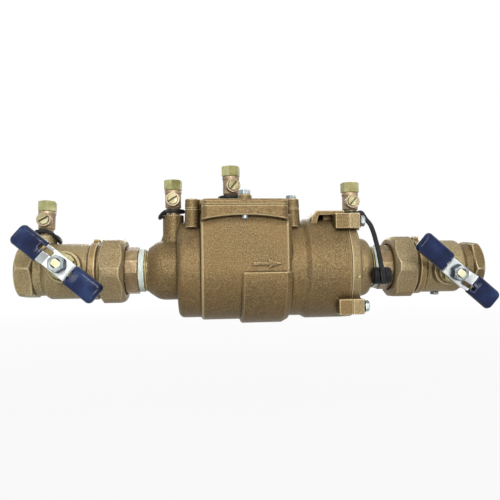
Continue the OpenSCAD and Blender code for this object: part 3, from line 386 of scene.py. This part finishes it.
# Machined metals: three tones, range of roughness, metallic share, then the squeeze of the tool lines.
ALONG_PIPE, UPRIGHT = (9, 1, 1), (1, 1, 9)
FRONT_FLAT = (0.1, -0.995, 0.0)
COCK_BRONZE = machined(
    "cock_bronze", rgb(136, 114, 88), rgb(172, 150, 120), rgb(200, 182, 154), (0.3, 0.5), 0.4)
TURNED = machined(
    "turned_bronze", rgb(98, 79, 53), rgb(136, 114, 80), rgb(172, 151, 114), (0.2, 0.32), 0.45, ALONG_PIPE)
BRASS = machined(
    "bright_brass", rgb(118, 114, 70), rgb(154, 150, 100), rgb(190, 187, 136), (0.34, 0.5), 0.35, UPRIGHT)
# Hex brass with painted shade on its front flat.
HEX_BRASS = machined(
    "hex_brass", rgb(150, 147, 92), rgb(188, 186, 130), rgb(222, 221, 170), (0.3, 0.45), 0.35, UPRIGHT,
    wear_and_shade=(FRONT_FLAT, rgb(118, 112, 62)))
PLUG_BRASS = machined(
    "plug_brass", rgb(122, 114, 76), rgb(160, 151, 108), rgb(214, 209, 172), (0.3, 0.45), 0.35,
    slot_shade=rgb(34, 30, 22))
STEM_BRASS = machined(
    "stem_brass", rgb(210, 204, 160), rgb(240, 236, 196), rgb(250, 248, 216), (0.25, 0.4), 0.3)
THREAD_BRASS = machined(
    "thread_brass", rgb(150, 134, 82), rgb(182, 168, 112), rgb(212, 200, 150), (0.25, 0.4), 0.6)
CHROME = machined(
    "ball_chrome", rgb(190, 192, 196), rgb(214, 215, 218), rgb(232, 233, 235), (0.06, 0.14), 1.0)
STEEL = machined(
    "spring_steel", rgb(140, 142, 144), rgb(170, 172, 174), rgb(196, 198, 200), (0.25, 0.4), 0.9)
# Plated parts. The handle nuts have painted shade on the sides that don't look along their stems.
ZINC = zinc(
    "zinc_plate", rgb(208, 215, 217), rgb(230, 234, 234), rgb(244, 246, 245), 0.45, rough=(0.35, 0.55))
NUT_ZINC = zinc("zinc_fastener", rgb(112, 124, 130), rgb(162, 172, 174), rgb(222, 228, 226), 0.6)


def handle_nut_zinc(name, roll):
    """Zinc of a handle nut whose stem leans up from the front by roll degrees."""
    stem_axis = (0.0, -math.cos(math.radians(roll)), math.sin(math.radians(roll)))
    return zinc(name, rgb(96, 108, 116), rgb(196, 205, 205), rgb(240, 244, 242), 0.1, stem_axis,
                side=rgb(58, 70, 78), rough=(0.4, 0.55), gloss=0.08)


INLET_NUT_ZINC = handle_nut_zinc("inlet_nut_zinc", INLET_ROLL)
OUTLET_NUT_ZINC = handle_nut_zinc("outlet_nut_zinc", -OUTLET_ROLL)
# Soft and moulded parts.
NAVY = vinyl("navy_vinyl")
RUBBER = rubber("tether_rubber", rgb(14, 14, 14), rgb(26, 27, 27), (0.42, 0.62))
SEAL = rubber("seal_rubber", rgb(16, 16, 16), rgb(30, 30, 30), (0.5, 0.7))
TAPE = tape("thread_tape")
RESIN = moulded("dark_resin", rgb(44, 46, 48), rgb(60, 62, 64))
PTFE = moulded("white_ptfe", rgb(196, 198, 196), rgb(222, 224, 222))

CAST = ("main_body", "top_cover", "outlet_cover", "inlet_valve_body", "outlet_valve_body")
BY_SLOT = {
    "cast_bronze": BRONZE, "machined_bronze": TURNED, "cock_bronze": COCK_BRONZE, "brass": BRASS,
    "chrome_ball": CHROME, "zinc_plate": ZINC, "navy_vinyl": NAVY, "white_ptfe": PTFE,
    "spring_steel": STEEL, "dark_resin": RESIN, "tether_rubber": RUBBER, "seal_rubber": SEAL,
}
# Nodes that differ from their slot, by the ending of the name. The last match counts.
BY_ENDING = {
    "outlet_cover": LIT_COVER_BRONZE, "valve_body": VALVE_BRONZE, "union_nut": NUT_BRONZE, "_stem": STEM_BRASS,
    "inlet_handle_nut": INLET_NUT_ZINC, "outlet_handle_nut": OUTLET_NUT_ZINC, "bolts": NUT_ZINC,
    "_outlet": HEX_BRASS, "_plug": PLUG_BRASS, "tapping_plug": NUT_ZINC,
}


def paint(o, mat):
    o.data.materials.clear()
    o.data.materials.append(mat)


def dress_nodes():
    slot_of = {s["node"]: s["material_slot"] for s in frame["record"]["subparts"]}
    for name, o in nodes.items():
        mat = BY_SLOT[slot_of[name]]
        for ending, special in BY_ENDING.items():
            if name.endswith(ending):
                mat = special
        paint(o, mat)


dress_nodes()


def soften(o, voxel, rounds):
    """Rounds a node's edges, as casting, plating and handling do."""
    r = o.modifiers.new("remesh", "REMESH")
    r.mode = "VOXEL"
    r.voxel_size = voxel * MM
    r.use_smooth_shade = True
    s = o.modifiers.new("smooth", "SMOOTH")
    s.factor = 0.5
    s.iterations = rounds


def roughen(o, texture, depth):
    """Raises sand grain on a cast node."""
    d = o.modifiers.new("grain", "DISPLACE")
    d.texture = texture
    d.texture_coords = "LOCAL"
    d.strength = depth * MM
    d.mid_level = 0.5


CAST_VOXEL, CAST_ROUNDS, GRAIN_SIZE, GRAIN_DEPTH = 0.58, 3, 1.0, 0.07
SAND = bpy.data.textures.new("sand", "CLOUDS")
SAND.noise_scale = GRAIN_SIZE * MM
SAND.noise_depth = 2
for cast_name in CAST:
    soften(nodes[cast_name], CAST_VOXEL, CAST_ROUNDS)
    roughen(nodes[cast_name], SAND, GRAIN_DEPTH)
# Voxel size and rounds of smoothing of other nodes, by the ending of the name. The first match counts.
SOFTENED = {
    "union_nut": (0.53, 2), "tailpiece": (0.48, 1), "_handle": (0.35, 2), "handle_nut": (0.25, 1),
    "packing_nut": (0.3, 2), "bolts": (0.3, 1), "_body": (0.3, 2), "_outlet": (0.3, 1), "_plug": (0.25, 1),
    "_stem": (0.25, 1),
}
for node_name, node_object in nodes.items():
    for ending, (voxel, rounds) in SOFTENED.items():
        if node_name.endswith(ending) and node_name not in CAST:
            soften(node_object, voxel, rounds)
            break


def add_mesh(name, bm, mat, body="housing"):
    """Makes a piece that rides on a body from a mesh, which is freed."""
    me = bpy.data.meshes.new(name)
    bm.normal_update()
    bm.to_mesh(me)
    bm.free()
    o = bpy.data.objects.new(name, me)
    bpy.context.scene.collection.objects.link(o)
    for p in me.polygons:
        p.use_smooth = True
    paint(o, mat)
    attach(o, body)
    return o


def mm(p):
    """A point given in millimetres, in metres."""
    return Vector(p) * MM


def about_x(x, r, a):
    """Point at x along the pipe, at radius r and angle a about it, in millimetres."""
    return mm((x, r * math.cos(a), r * math.sin(a)))


def about_z(r, a, z):
    """Point at height z, at radius r and angle a about the upright axis, in millimetres."""
    return mm((r * math.cos(a), r * math.sin(a), z))


def angles(n):
    """Angles of n equal steps around a circle."""
    return [2 * math.pi * k / n for k in range(n)]


def blunt(c, power):
    """A sine or cosine made blunter, which squares up a round section."""
    return math.copysign(abs(c) ** power, c)


def ease(t, a, b):
    """Grows smoothly from 0 at a to 1 at b."""
    u = min(max((t - a) / (b - a), 0.0), 1.0)
    return u * u * (3 - 2 * u)


def joined(parts):
    """One mesh from several, which are freed."""
    whole = bmesh.new()
    for part in parts:
        tmp = bpy.data.meshes.new("tmp")
        part.to_mesh(tmp)
        part.free()
        whole.from_mesh(tmp)
        bpy.data.meshes.remove(tmp)
    return whole


# Frames of the valves and test cocks.
def rot(deg, axis):
    return Matrix.Rotation(math.radians(deg), 4, axis)


def shift(*v):
    return Matrix.Translation(v)


FLIP = shift(MIRROR_LEN, 0, 0) @ Matrix.Scale(-1, 4, (1, 0, 0))
AT_INLET = rot(-INLET_ROLL, "X")
TURN_IN = AT_INLET @ shift(STEM_X, 0, 0) @ rot(90, "X") @ rot(-HANDLE_TURN, "Z")
TURN_OUT = shift(MIRROR_LEN - STEM_X, 0, 0) @ rot(OUTLET_ROLL + 90, "X") @ rot(-HANDLE_TURN, "Z")


def cock_frame(n):
    """Frame at the foot of test cock n."""
    if n == 1:
        return AT_INLET @ shift(*COCK_1)
    return shift(*COCKS[n]) @ rot(COCK_3_TURN if n == 3 else 0, "Z")


def place(bm, m):
    """Moves a mesh drawn in metres by a frame given in millimetres."""
    m = m.copy()
    m.translation = m.translation * MM
    bmesh.ops.transform(bm, matrix=m, verts=bm.verts)
    if m.determinant() < 0:
        bmesh.ops.reverse_faces(bm, faces=bm.faces)
    return bm


def skin_rings(bm, rings, closed):
    """Joins rings of vertices into a tube, capped unless it closes on itself."""
    k = len(rings[0])
    pairs = list(zip(rings, rings[1:] + rings[:1])) if closed else list(zip(rings, rings[1:]))
    for a, b in pairs:
        for j in range(k):
            bm.faces.new((a[j], b[j], b[(j + 1) % k], a[(j + 1) % k]))
    if not closed:
        bm.faces.new(rings[0][::-1])
        bm.faces.new(rings[-1])
    bmesh.ops.recalc_face_normals(bm, faces=bm.faces)
    return bm


# The strap and the cap on it.
def smooth_path(stops, per):
    """Smooth curve through the stops, with per points to each stretch."""
    out = []
    n = len(stops)
    for i in range(n - 1):
        a, b, c, d = (Vector(stops[max(0, min(n - 1, k))]) for k in (i - 1, i, i + 1, i + 2))
        for k in range(per + (1 if i == n - 2 else 0)):
            t = k / per
            out.append(0.5 * (2 * b + (c - a) * t + (2 * a - 5 * b + 4 * c - d) * t * t
                              + (3 * b - a - 3 * c + d) * t * t * t))
    return out


def sweep(path, section, face):
    """A closed tube with the given section, whose second coordinate looks towards face."""
    bm = bmesh.new()
    rings = []
    for i, p in enumerate(path):
        t = (path[min(i + 1, len(path) - 1)] - path[max(i - 1, 0)]).normalized()
        w = t.cross(Vector(face)).normalized()
        f = w.cross(t)
        rings.append([bm.verts.new((p + w * u + f * v) * MM) for u, v in section])
    return skin_rings(bm, rings, False)


STRAP_FACE = (0.25, -0.95, 0.1)
STRAP_SIDES, GROOVE_DEPTH, GROOVE_HALF = 28, 0.4, 0.5


def strap_section(w, t):
    """Flat strap with rounded edges and a shallow groove along its outer face."""
    out = []
    for j in range(STRAP_SIDES):
        a = 2 * math.pi * (j + 0.5) / STRAP_SIDES
        u = w / 2 * blunt(math.cos(a), 0.5)
        v = t / 2 * blunt(math.sin(a), 0.5)
        if v > 0:
            v -= GROOVE_DEPTH * math.exp(-(u / GROOVE_HALF) ** 2)
        out.append((u, v))
    return out


strap_path = smooth_path(STRAP_STOPS, 8)
strap_bm = sweep(strap_path, strap_section(STRAP_W, STRAP_T), STRAP_FACE)
strap = add_mesh("tether_strap_piece", strap_bm, RUBBER)
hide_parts("tether_strap")


def spun_mesh(profile, sides):
    """Closed profile of (radius, along) turned about the X axis, in millimetres."""
    bm = bmesh.new()
    rings = [[bm.verts.new(about_x(h, r, a)) for r, h in profile] for a in angles(sides)]
    skin_rings(bm, rings, True)
    bmesh.ops.remove_doubles(bm, verts=bm.verts, dist=1e-7)
    bmesh.ops.recalc_face_normals(bm, faces=bm.faces)
    return bm


CAP_RIBS, CAP_RIB, CAP_WALL, CAP_FLOOR, CAP_SIDES = 6, 0.34, 2.3, 4.2, 72
# Points on a rib, and radius of the profile's ends, which stay off the axis.
RIB_POINTS, AXIS_GAP = 11, 0.05


def cap_profile():
    """A ribbed cup, open towards the outlet."""
    half = CAP_LEN / 2
    inner = CAP_R - CAP_WALL
    out = [(AXIS_GAP, -half), (CAP_R - 2.2, -half), (CAP_R - 0.9, -half + 0.5)]
    n = RIB_POINTS * CAP_RIBS
    for i in range(n + 1):
        rib = CAP_RIB * math.sin(2 * math.pi * CAP_RIBS * i / n)
        out.append((CAP_R - 0.36 + rib, -half + 1.2 + (CAP_LEN - 2.0) * i / n))
    out += [(CAP_R - 0.7, half - 0.2), (CAP_R - 1.2, half), (CAP_R - 2.0, half - 0.1)]
    out += [(inner, half - 0.6), (inner, -half + CAP_FLOOR), (AXIS_GAP, -half + CAP_FLOOR)]
    return out


cap_bm = spun_mesh(cap_profile(), CAP_SIDES)
bmesh.ops.translate(cap_bm, verts=cap_bm.verts, vec=mm(CAP_AT))
cap = add_mesh("tether_cap_piece", cap_bm, RUBBER)
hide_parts("tether_cap")


# Dipped grips: a coat that follows the bent wing, open at its slot or window, then rounded.
GRIP_W, GRIP_OVER, GRIP_CORNER, GRIP_EDGE = 16.4, 1.7, 4.0, 2.6
GRIP_STEP, GRIP_VOXEL, GRIP_ROUNDS = 0.5, 0.35, 7
GRIP_COAT, GRIP_CROWN = (GRIP_T - HANDLE_T) / 2 - 0.2, 0.7
# The coat gets thinner by GRIP_LIP over its first GRIP_THIN.
GRIP_LIP, GRIP_THIN = 0.5, 3.0
# The coat gets thicker by SHOULDER over a slope just beyond the bend.
SHOULDER, SHOULDER_FROM, SHOULDER_TO = 0.8, 13.5, 19.5


def wing_rise(x, lead):
    """Height of the strip's face above the flat middle; its upper face bends a little sooner."""
    return WING_RISE * min(max((x - FLAT_HALF + lead) / BEND_LEN, 0.0), 1.0)


def grip_depth(x, y, end):
    """Distance of a point of the wing's plan from the grip's sides and rounded end."""
    dx = x - end + GRIP_CORNER
    dy = abs(y) - GRIP_W / 2 + GRIP_CORNER
    if dx > 0 and dy > 0:
        return GRIP_CORNER - math.hypot(dx, dy)
    return GRIP_CORNER - max(dx, dy)


def grip_inside(x, y, wing, end):
    """Whether a point of the wing's plan lies in the vinyl."""
    far, left, right = WING_OPENING[wing]
    return not (x < far and left < y < right) and grip_depth(x, y, end) >= 0


def grip_height(x, y, side, x0, end):
    """Height of the coat's upper face, for side 1, or lower face, for -1, which meet at its edge."""
    coat = GRIP_COAT + GRIP_CROWN * (1 - (2 * y / GRIP_W) ** 2)
    coat -= GRIP_LIP * max(0.0, 1 - (x - x0) / GRIP_THIN)
    if side > 0:
        shoulder = SHOULDER * ease(x, SHOULDER_FROM, SHOULDER_TO)
        z = HANDLE_Z + HANDLE_T + wing_rise(x, BEND_LEAD) + coat + shoulder
    else:
        z = HANDLE_Z + wing_rise(x, 0.0) - coat
    middle = HANDLE_Z + HANDLE_T / 2 + wing_rise(x, BEND_LEAD / 2)
    within = min(max(grip_depth(x, y, end) / GRIP_EDGE, 0.02), 1.0)
    return middle + (z - middle) * math.sqrt(1 - (1 - within) ** 2)


def grip_mesh(wing, extra=0.0):
    """Grip of one wing, 1 or -1, in the handle's frame."""
    bm = bmesh.new()
    x0, end = GRIP_FROM[wing], HANDLE_LEN / 2 + GRIP_OVER + extra
    nx, ny = round((end - x0) / GRIP_STEP), round(GRIP_W / GRIP_STEP)
    verts = {}

    def plan(i, j):
        return x0 + (end - x0) * i / nx, GRIP_W * (j / ny - 0.5)

    def vert(i, j, side):
        if (i, j, side) not in verts:
            x, y = plan(i, j)
            verts[i, j, side] = bm.verts.new(mm((wing * x, y, grip_height(x, y, side, x0, end))))
        return verts[i, j, side]

    cells = {(i, j) for i in range(nx) for j in range(ny)
             if grip_inside(*plan(i + 0.5, j + 0.5), wing, end)}
    for i, j in cells:
        loop = [(i, j), (i + 1, j), (i + 1, j + 1), (i, j + 1)]
        around = [(i, j - 1), (i + 1, j), (i, j + 1), (i - 1, j)]
        for side in (1, -1):
            bm.faces.new([vert(a, b, side) for a, b in loop][::side])
        for (a, b), (c, d), beyond in zip(loop, loop[1:] + loop[:1], around):
            if beyond not in cells:
                bm.faces.new((vert(a, b, 1), vert(a, b, -1), vert(c, d, -1), vert(c, d, 1)))
    bmesh.ops.recalc_face_normals(bm, faces=bm.faces)
    return bm


# Each handle's frame, and what its wing with the small window has in length over the others.
HANDLES = {"inlet": (TURN_IN @ rot(180, "Z"), 0.0), "outlet": (TURN_OUT, OUTLET_WING_EXTRA)}
for side_name, (turn_frame, wing_extra) in HANDLES.items():
    grips_bm = place(joined([grip_mesh(1), grip_mesh(-1, wing_extra)]), turn_frame)
    grips = add_mesh(f"{side_name}_grip_vinyl", grips_bm, NAVY, f"{side_name}_handle_body")
    soften(grips, GRIP_VOXEL, GRIP_ROUNDS)
    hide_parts(f"{side_name}_handle_grips")


# Tether loops at the feet of the test cocks.
LOOP_R, LOOP_Z, LOOP_HALF_W, LOOP_HALF_T = 7.9, 3.2, 1.3, 1.5
# Direction in degrees, reach and drop of the hanging side of each loop.
LOOPS = {1: (0, 10.7, 7.5), 2: (180, 10.7, 5.0), 3: (180, 9.0, 0.2)}
RING_R, RING_Z, RING_HALF_W, RING_HALF_T = 6.45, 3.5, 0.95, 1.1
# The strap's root: where it starts on the ring, how far it bows, and how much slimmer it is.
ROOT_Y, ROOT_BOW, ROOT_SLIM = -1.0, Vector((0.3, 0, 0.5)), 0.1


def loop_mesh(towards, reach, drop):
    """Soft ring that hangs down on one side."""
    bm = bmesh.new()
    rings = []
    for a in angles(96):
        c = math.cos(a - math.radians(towards))
        r = LOOP_R + (reach - LOOP_R) * ease(c, 0.0, 0.6)
        z = LOOP_Z - drop * max(c, 0.0) ** 2.5
        rings.append([bm.verts.new(about_z(r + LOOP_HALF_W * blunt(math.cos(b), 0.7), a,
                                           z + LOOP_HALF_T * blunt(math.sin(b), 0.7)))
                      for b in angles(20)])
    return skin_rings(bm, rings, True)


def ring_mesh():
    """Snug ring that the strap grows from."""
    bm = bmesh.new()
    rings = [[bm.verts.new(about_z(RING_R + RING_HALF_W * math.cos(b), a, RING_Z + RING_HALF_T * math.sin(b)))
              for b in angles(16)] for a in angles(72)]
    return skin_rings(bm, rings, True)


def root_mesh():
    """First stretch of the strap, from the ring of test cock 4 to the cord's exit."""
    start = Vector(COCKS[4]) + Vector((RING_R, ROOT_Y, RING_Z))
    bow = (start + strap_path[0]) / 2 + ROOT_BOW
    path = smooth_path([start, bow, strap_path[0], strap_path[2]], 6)
    return sweep(path, strap_section(STRAP_W - ROOT_SLIM, STRAP_T - ROOT_SLIM), STRAP_FACE)


loop_parts = [place(loop_mesh(*shape), cock_frame(n)) for n, shape in LOOPS.items()]
loop_parts += [place(ring_mesh(), cock_frame(4)), root_mesh()]
loops_piece = add_mesh("tether_loop_rings", joined(loop_parts), RUBBER)
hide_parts("tether_loops")


# Threads and the tape wound on them.
THREAD_PITCH, THREAD_STEPS = 2.2, 56
# A ridge's section in shares of pitch and height, the pitches left free at an end, and its run-out in steps.
RIDGE_SECTION = ((-0.44, -0.04), (-0.08, 1.0), (0.08, 1.0), (0.44, -0.04))
RIDGE_INSET, RIDGE_RUNOUT = 0.45, 14
PIPE_RIDGE, JOINT_RIDGE = -0.9, 0.55
PIPE_THREAD = (0.6, PIPE_DEPTH - 1.5)
OUTLET_PIPE_THREAD = (OUTLET_TRIM + 0.6, OUTLET_TRIM + OUTLET_PIPE_DEPTH - 1.0)
JOINT_THREAD = (TAIL_END - 0.6, HUB_X + 0.4)


def thread_ridge(r, ends, height):
    """Thread ridge wound about the X axis on a wall of radius r, inwards for a negative height."""
    bm = bmesh.new()
    x0, x1 = ends
    turns = (x1 - x0) / THREAD_PITCH - 2 * RIDGE_INSET
    count = int(turns * THREAD_STEPS)
    rings = []
    for k in range(count + 1):
        a = 2 * math.pi * k / THREAD_STEPS
        x = x0 + THREAD_PITCH * (RIDGE_INSET + k / THREAD_STEPS)
        h = height * min(1.0, k / RIDGE_RUNOUT, (count - k) / RIDGE_RUNOUT)
        rings.append([bm.verts.new(about_x(x + THREAD_PITCH * u, r + h * v, a)) for u, v in RIDGE_SECTION])
    return skin_rings(bm, rings, False)


pipe_threads = joined([thread_ridge(PIPE_R, PIPE_THREAD, PIPE_RIDGE),
                       place(thread_ridge(PIPE_R, OUTLET_PIPE_THREAD, PIPE_RIDGE), FLIP)])
add_mesh("pipe_thread_ridges", pipe_threads, THREAD_BRASS)
joint_threads = joined([thread_ridge(THREAD_R, JOINT_THREAD, JOINT_RIDGE),
                        place(thread_ridge(THREAD_R, JOINT_THREAD, JOINT_RIDGE), FLIP)])
add_mesh("joint_thread_ridges", joint_threads, THREAD_BRASS)

TAPE_FROM, TAPE_TO = TAIL_END + 0.5, HUB_X - 2.9
TAPE_SIDES, TAPE_POINTS = 120, 14
# Heights over the thread's wall: inside, middle and most of the tape. Then its crests, lap and creases.
TAPE_IN, TAPE_MID, TAPE_MOST = 0.1, 0.58, 0.8
TAPE_CREST, TAPE_LAP, TAPE_CREASE = 0.1, 0.1, 0.06
# How far the two edges wander, and how quickly.
RAGGED_LEFT, RAGGED_RIGHT, RAGGED_RATE = 0.35, 0.5, 2.2


def tape_mesh(seed):
    """Wraps of tape with ragged edges and the thread's crests telling through."""
    bm = bmesh.new()
    rings = []
    for k, a in enumerate(angles(TAPE_SIDES)):
        way = Vector((RAGGED_RATE * math.cos(a), RAGGED_RATE * math.sin(a), seed))
        left = TAPE_FROM + RAGGED_LEFT * noise.noise(way)
        right = TAPE_TO + RAGGED_RIGHT * noise.noise(way + Vector((9, 0, 0)))
        lap = TAPE_FROM + (TAPE_TO - TAPE_FROM) * (0.5 + 0.25 * math.cos(a + seed))
        row = []
        for j in range(TAPE_POINTS):
            x = left + (right - left) * j / (TAPE_POINTS - 1)
            r = THREAD_R + TAPE_MID
            r += TAPE_CREST * math.cos(2 * math.pi * (x / THREAD_PITCH - k / TAPE_SIDES))
            r += TAPE_LAP if x > lap else 0.0
            r += TAPE_CREASE * noise.noise(way * 2 + Vector((x, 0, 3)))
            row.append((x, min(r, THREAD_R + TAPE_MOST)))
        row += [(right, THREAD_R + TAPE_IN), (left, THREAD_R + TAPE_IN)]
        rings.append([bm.verts.new(about_x(x, r, a)) for x, r in row])
    return skin_rings(bm, rings, True)


wraps = add_mesh("thread_tape_wraps", joined([tape_mesh(1.0), place(tape_mesh(4.0), FLIP)]), TAPE)
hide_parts("thread_tapes")


# Check springs, each with a mesh of its own.
STEPS_PER_TURN, WIRE_SIDES = 40, 12


def spring_mesh(x):
    """Round wire wound about the pipe's axis, for a check whose seat is at x."""
    bm = bmesh.new()
    count = SPRING_TURNS * STEPS_PER_TURN
    x0, x1 = x + SPRING_FROM + WIRE_R, x + SPRING_TO - WIRE_R
    rings = []
    for k in range(count + 1):
        a = 2 * math.pi * k / STEPS_PER_TURN
        along = x0 + (x1 - x0) * k / count
        rings.append([bm.verts.new(about_x(along + WIRE_R * math.sin(b), SPRING_R + WIRE_R * math.cos(b), a))
                      for b in angles(WIRE_SIDES)])
    return skin_rings(bm, rings, False)


for check_name, check_x in CHECKS.items():
    spring = add_mesh(f"{check_name}_spring_coil", spring_mesh(check_x), STEEL)
    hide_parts(f"{check_name}_check_spring")
    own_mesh(spring)


# Floor, light and background, in metres.
FLOOR_Z, FLOOR_HALF, FLOOR_GREY = -0.16, 4.0, 0.3
SOFT_LIGHT = 0.1
CENTRE = (0.18, 0.0, 0.0)
# Share of plain white in the floor's colour, near the object and at a distance.
WHITE_NEAR, WHITE_FAR, NEAR_AT, FAR_AT = 0.93, 1.0, 0.5, 2.0


def seen_directly(tree):
    """1 for rays that show the background: camera, mirror and clear rays."""
    lp = tree.nodes.new("ShaderNodeLightPath")
    total = lp.outputs["Is Camera Ray"]
    for name in ("Is Glossy Ray", "Is Transmission Ray"):
        m = tree.nodes.new("ShaderNodeMath")
        m.operation = "MAXIMUM"
        tree.links.new(total, m.inputs[0])
        tree.links.new(lp.outputs[name], m.inputs[1])
        total = m.outputs[0]
    return total


def floor_material():
    """Pale floor that shows as nearly white and keeps the object's shadow."""
    m = bpy.data.materials.new("floor")
    m.use_nodes = True
    t = m.node_tree
    t.nodes.clear()
    out = t.nodes.new("ShaderNodeOutputMaterial")
    mix = t.nodes.new("ShaderNodeMixShader")
    pale = t.nodes.new("ShaderNodeBsdfDiffuse")
    pale.inputs[0].default_value = (FLOOR_GREY, FLOOR_GREY, FLOOR_GREY, 1)
    white = t.nodes.new("ShaderNodeEmission")
    white.inputs[0].default_value = (1, 1, 1, 1)
    far = t.nodes.new("ShaderNodeVectorMath")
    far.operation = "DISTANCE"
    far.inputs[1].default_value = CENTRE
    t.links.new(t.nodes.new("ShaderNodeNewGeometry").outputs["Position"], far.inputs[0])
    fade = t.nodes.new("ShaderNodeMapRange")
    fade_ends = {"From Min": NEAR_AT, "From Max": FAR_AT, "To Min": WHITE_NEAR, "To Max": WHITE_FAR}
    for k, v in fade_ends.items():
        fade.inputs[k].default_value = v
    t.links.new(far.outputs["Value"], fade.inputs["Value"])
    share = t.nodes.new("ShaderNodeMath")
    share.operation = "MULTIPLY"
    t.links.new(seen_directly(t), share.inputs[0])
    t.links.new(fade.outputs[0], share.inputs[1])
    t.links.new(share.outputs[0], mix.inputs[0])
    t.links.new(pale.outputs[0], mix.inputs[1])
    t.links.new(white.outputs[0], mix.inputs[2])
    t.links.new(mix.outputs[0], out.inputs[0])
    return m


def make_floor():
    bm = bmesh.new()
    for x, y in ((-1, -1), (1, -1), (1, 1), (-1, 1)):
        bm.verts.new((FLOOR_HALF * x, FLOOR_HALF * y, FLOOR_Z))
    bm.faces.new(bm.verts)
    me = bpy.data.meshes.new("floor")
    bm.to_mesh(me)
    bm.free()
    floor = bpy.data.objects.new("floor", me)
    bpy.context.scene.collection.objects.link(floor)
    me.materials.append(floor_material())


def make_world():
    """Soft light from all sides, which shows as plain white."""
    w = bpy.data.worlds.new("studio")
    bpy.context.scene.world = w
    w.use_nodes = True
    t = w.node_tree
    t.nodes.clear()
    out = t.nodes.new("ShaderNodeOutputWorld")
    mix = t.nodes.new("ShaderNodeMixShader")
    for i, strength in ((1, SOFT_LIGHT), (2, 1.0)):
        b = t.nodes.new("ShaderNodeBackground")
        b.inputs[0].default_value = (1, 1, 1, 1)
        b.inputs[1].default_value = strength
        t.links.new(b.outputs[0], mix.inputs[i])
    t.links.new(seen_directly(t), mix.inputs[0])
    t.links.new(mix.outputs[0], out.inputs[0])


def lamp(name, at, size, watts):
    """Soft panel of the given width and height, turned to the object."""
    data = bpy.data.lights.new(name, "AREA")
    data.shape = "RECTANGLE"
    data.size, data.size_y = size
    data.energy = watts
    o = bpy.data.objects.new(name, data)
    bpy.context.scene.collection.objects.link(o)
    aim = (Vector(CENTRE) - Vector(at)).to_track_quat("-Z", "Y").to_matrix().to_4x4()
    o.matrix_world = Matrix.Translation(at) @ aim


make_floor()
make_world()
lamp("key", (0.22, -1.0, 0.6), (0.5, 0.35), 7)
lamp("front", (0.25, -1.3, 0.02), (0.4, 0.3), 5)
lamp("sheen_left", (-0.57, -1.04, 0.52), (0.25, 0.25), 1.5)
lamp("sheen_right", (0.6, -1.15, 0.0), (0.2, 0.2), 0.8)
lamp("top", (0.18, 0.1, 1.1), (0.9, 0.6), 1.5)
lamp("back", (0.18, 1.1, 0.5), (0.8, 0.4), 5)

bpy.context.scene.view_settings.view_transform = "Standard"
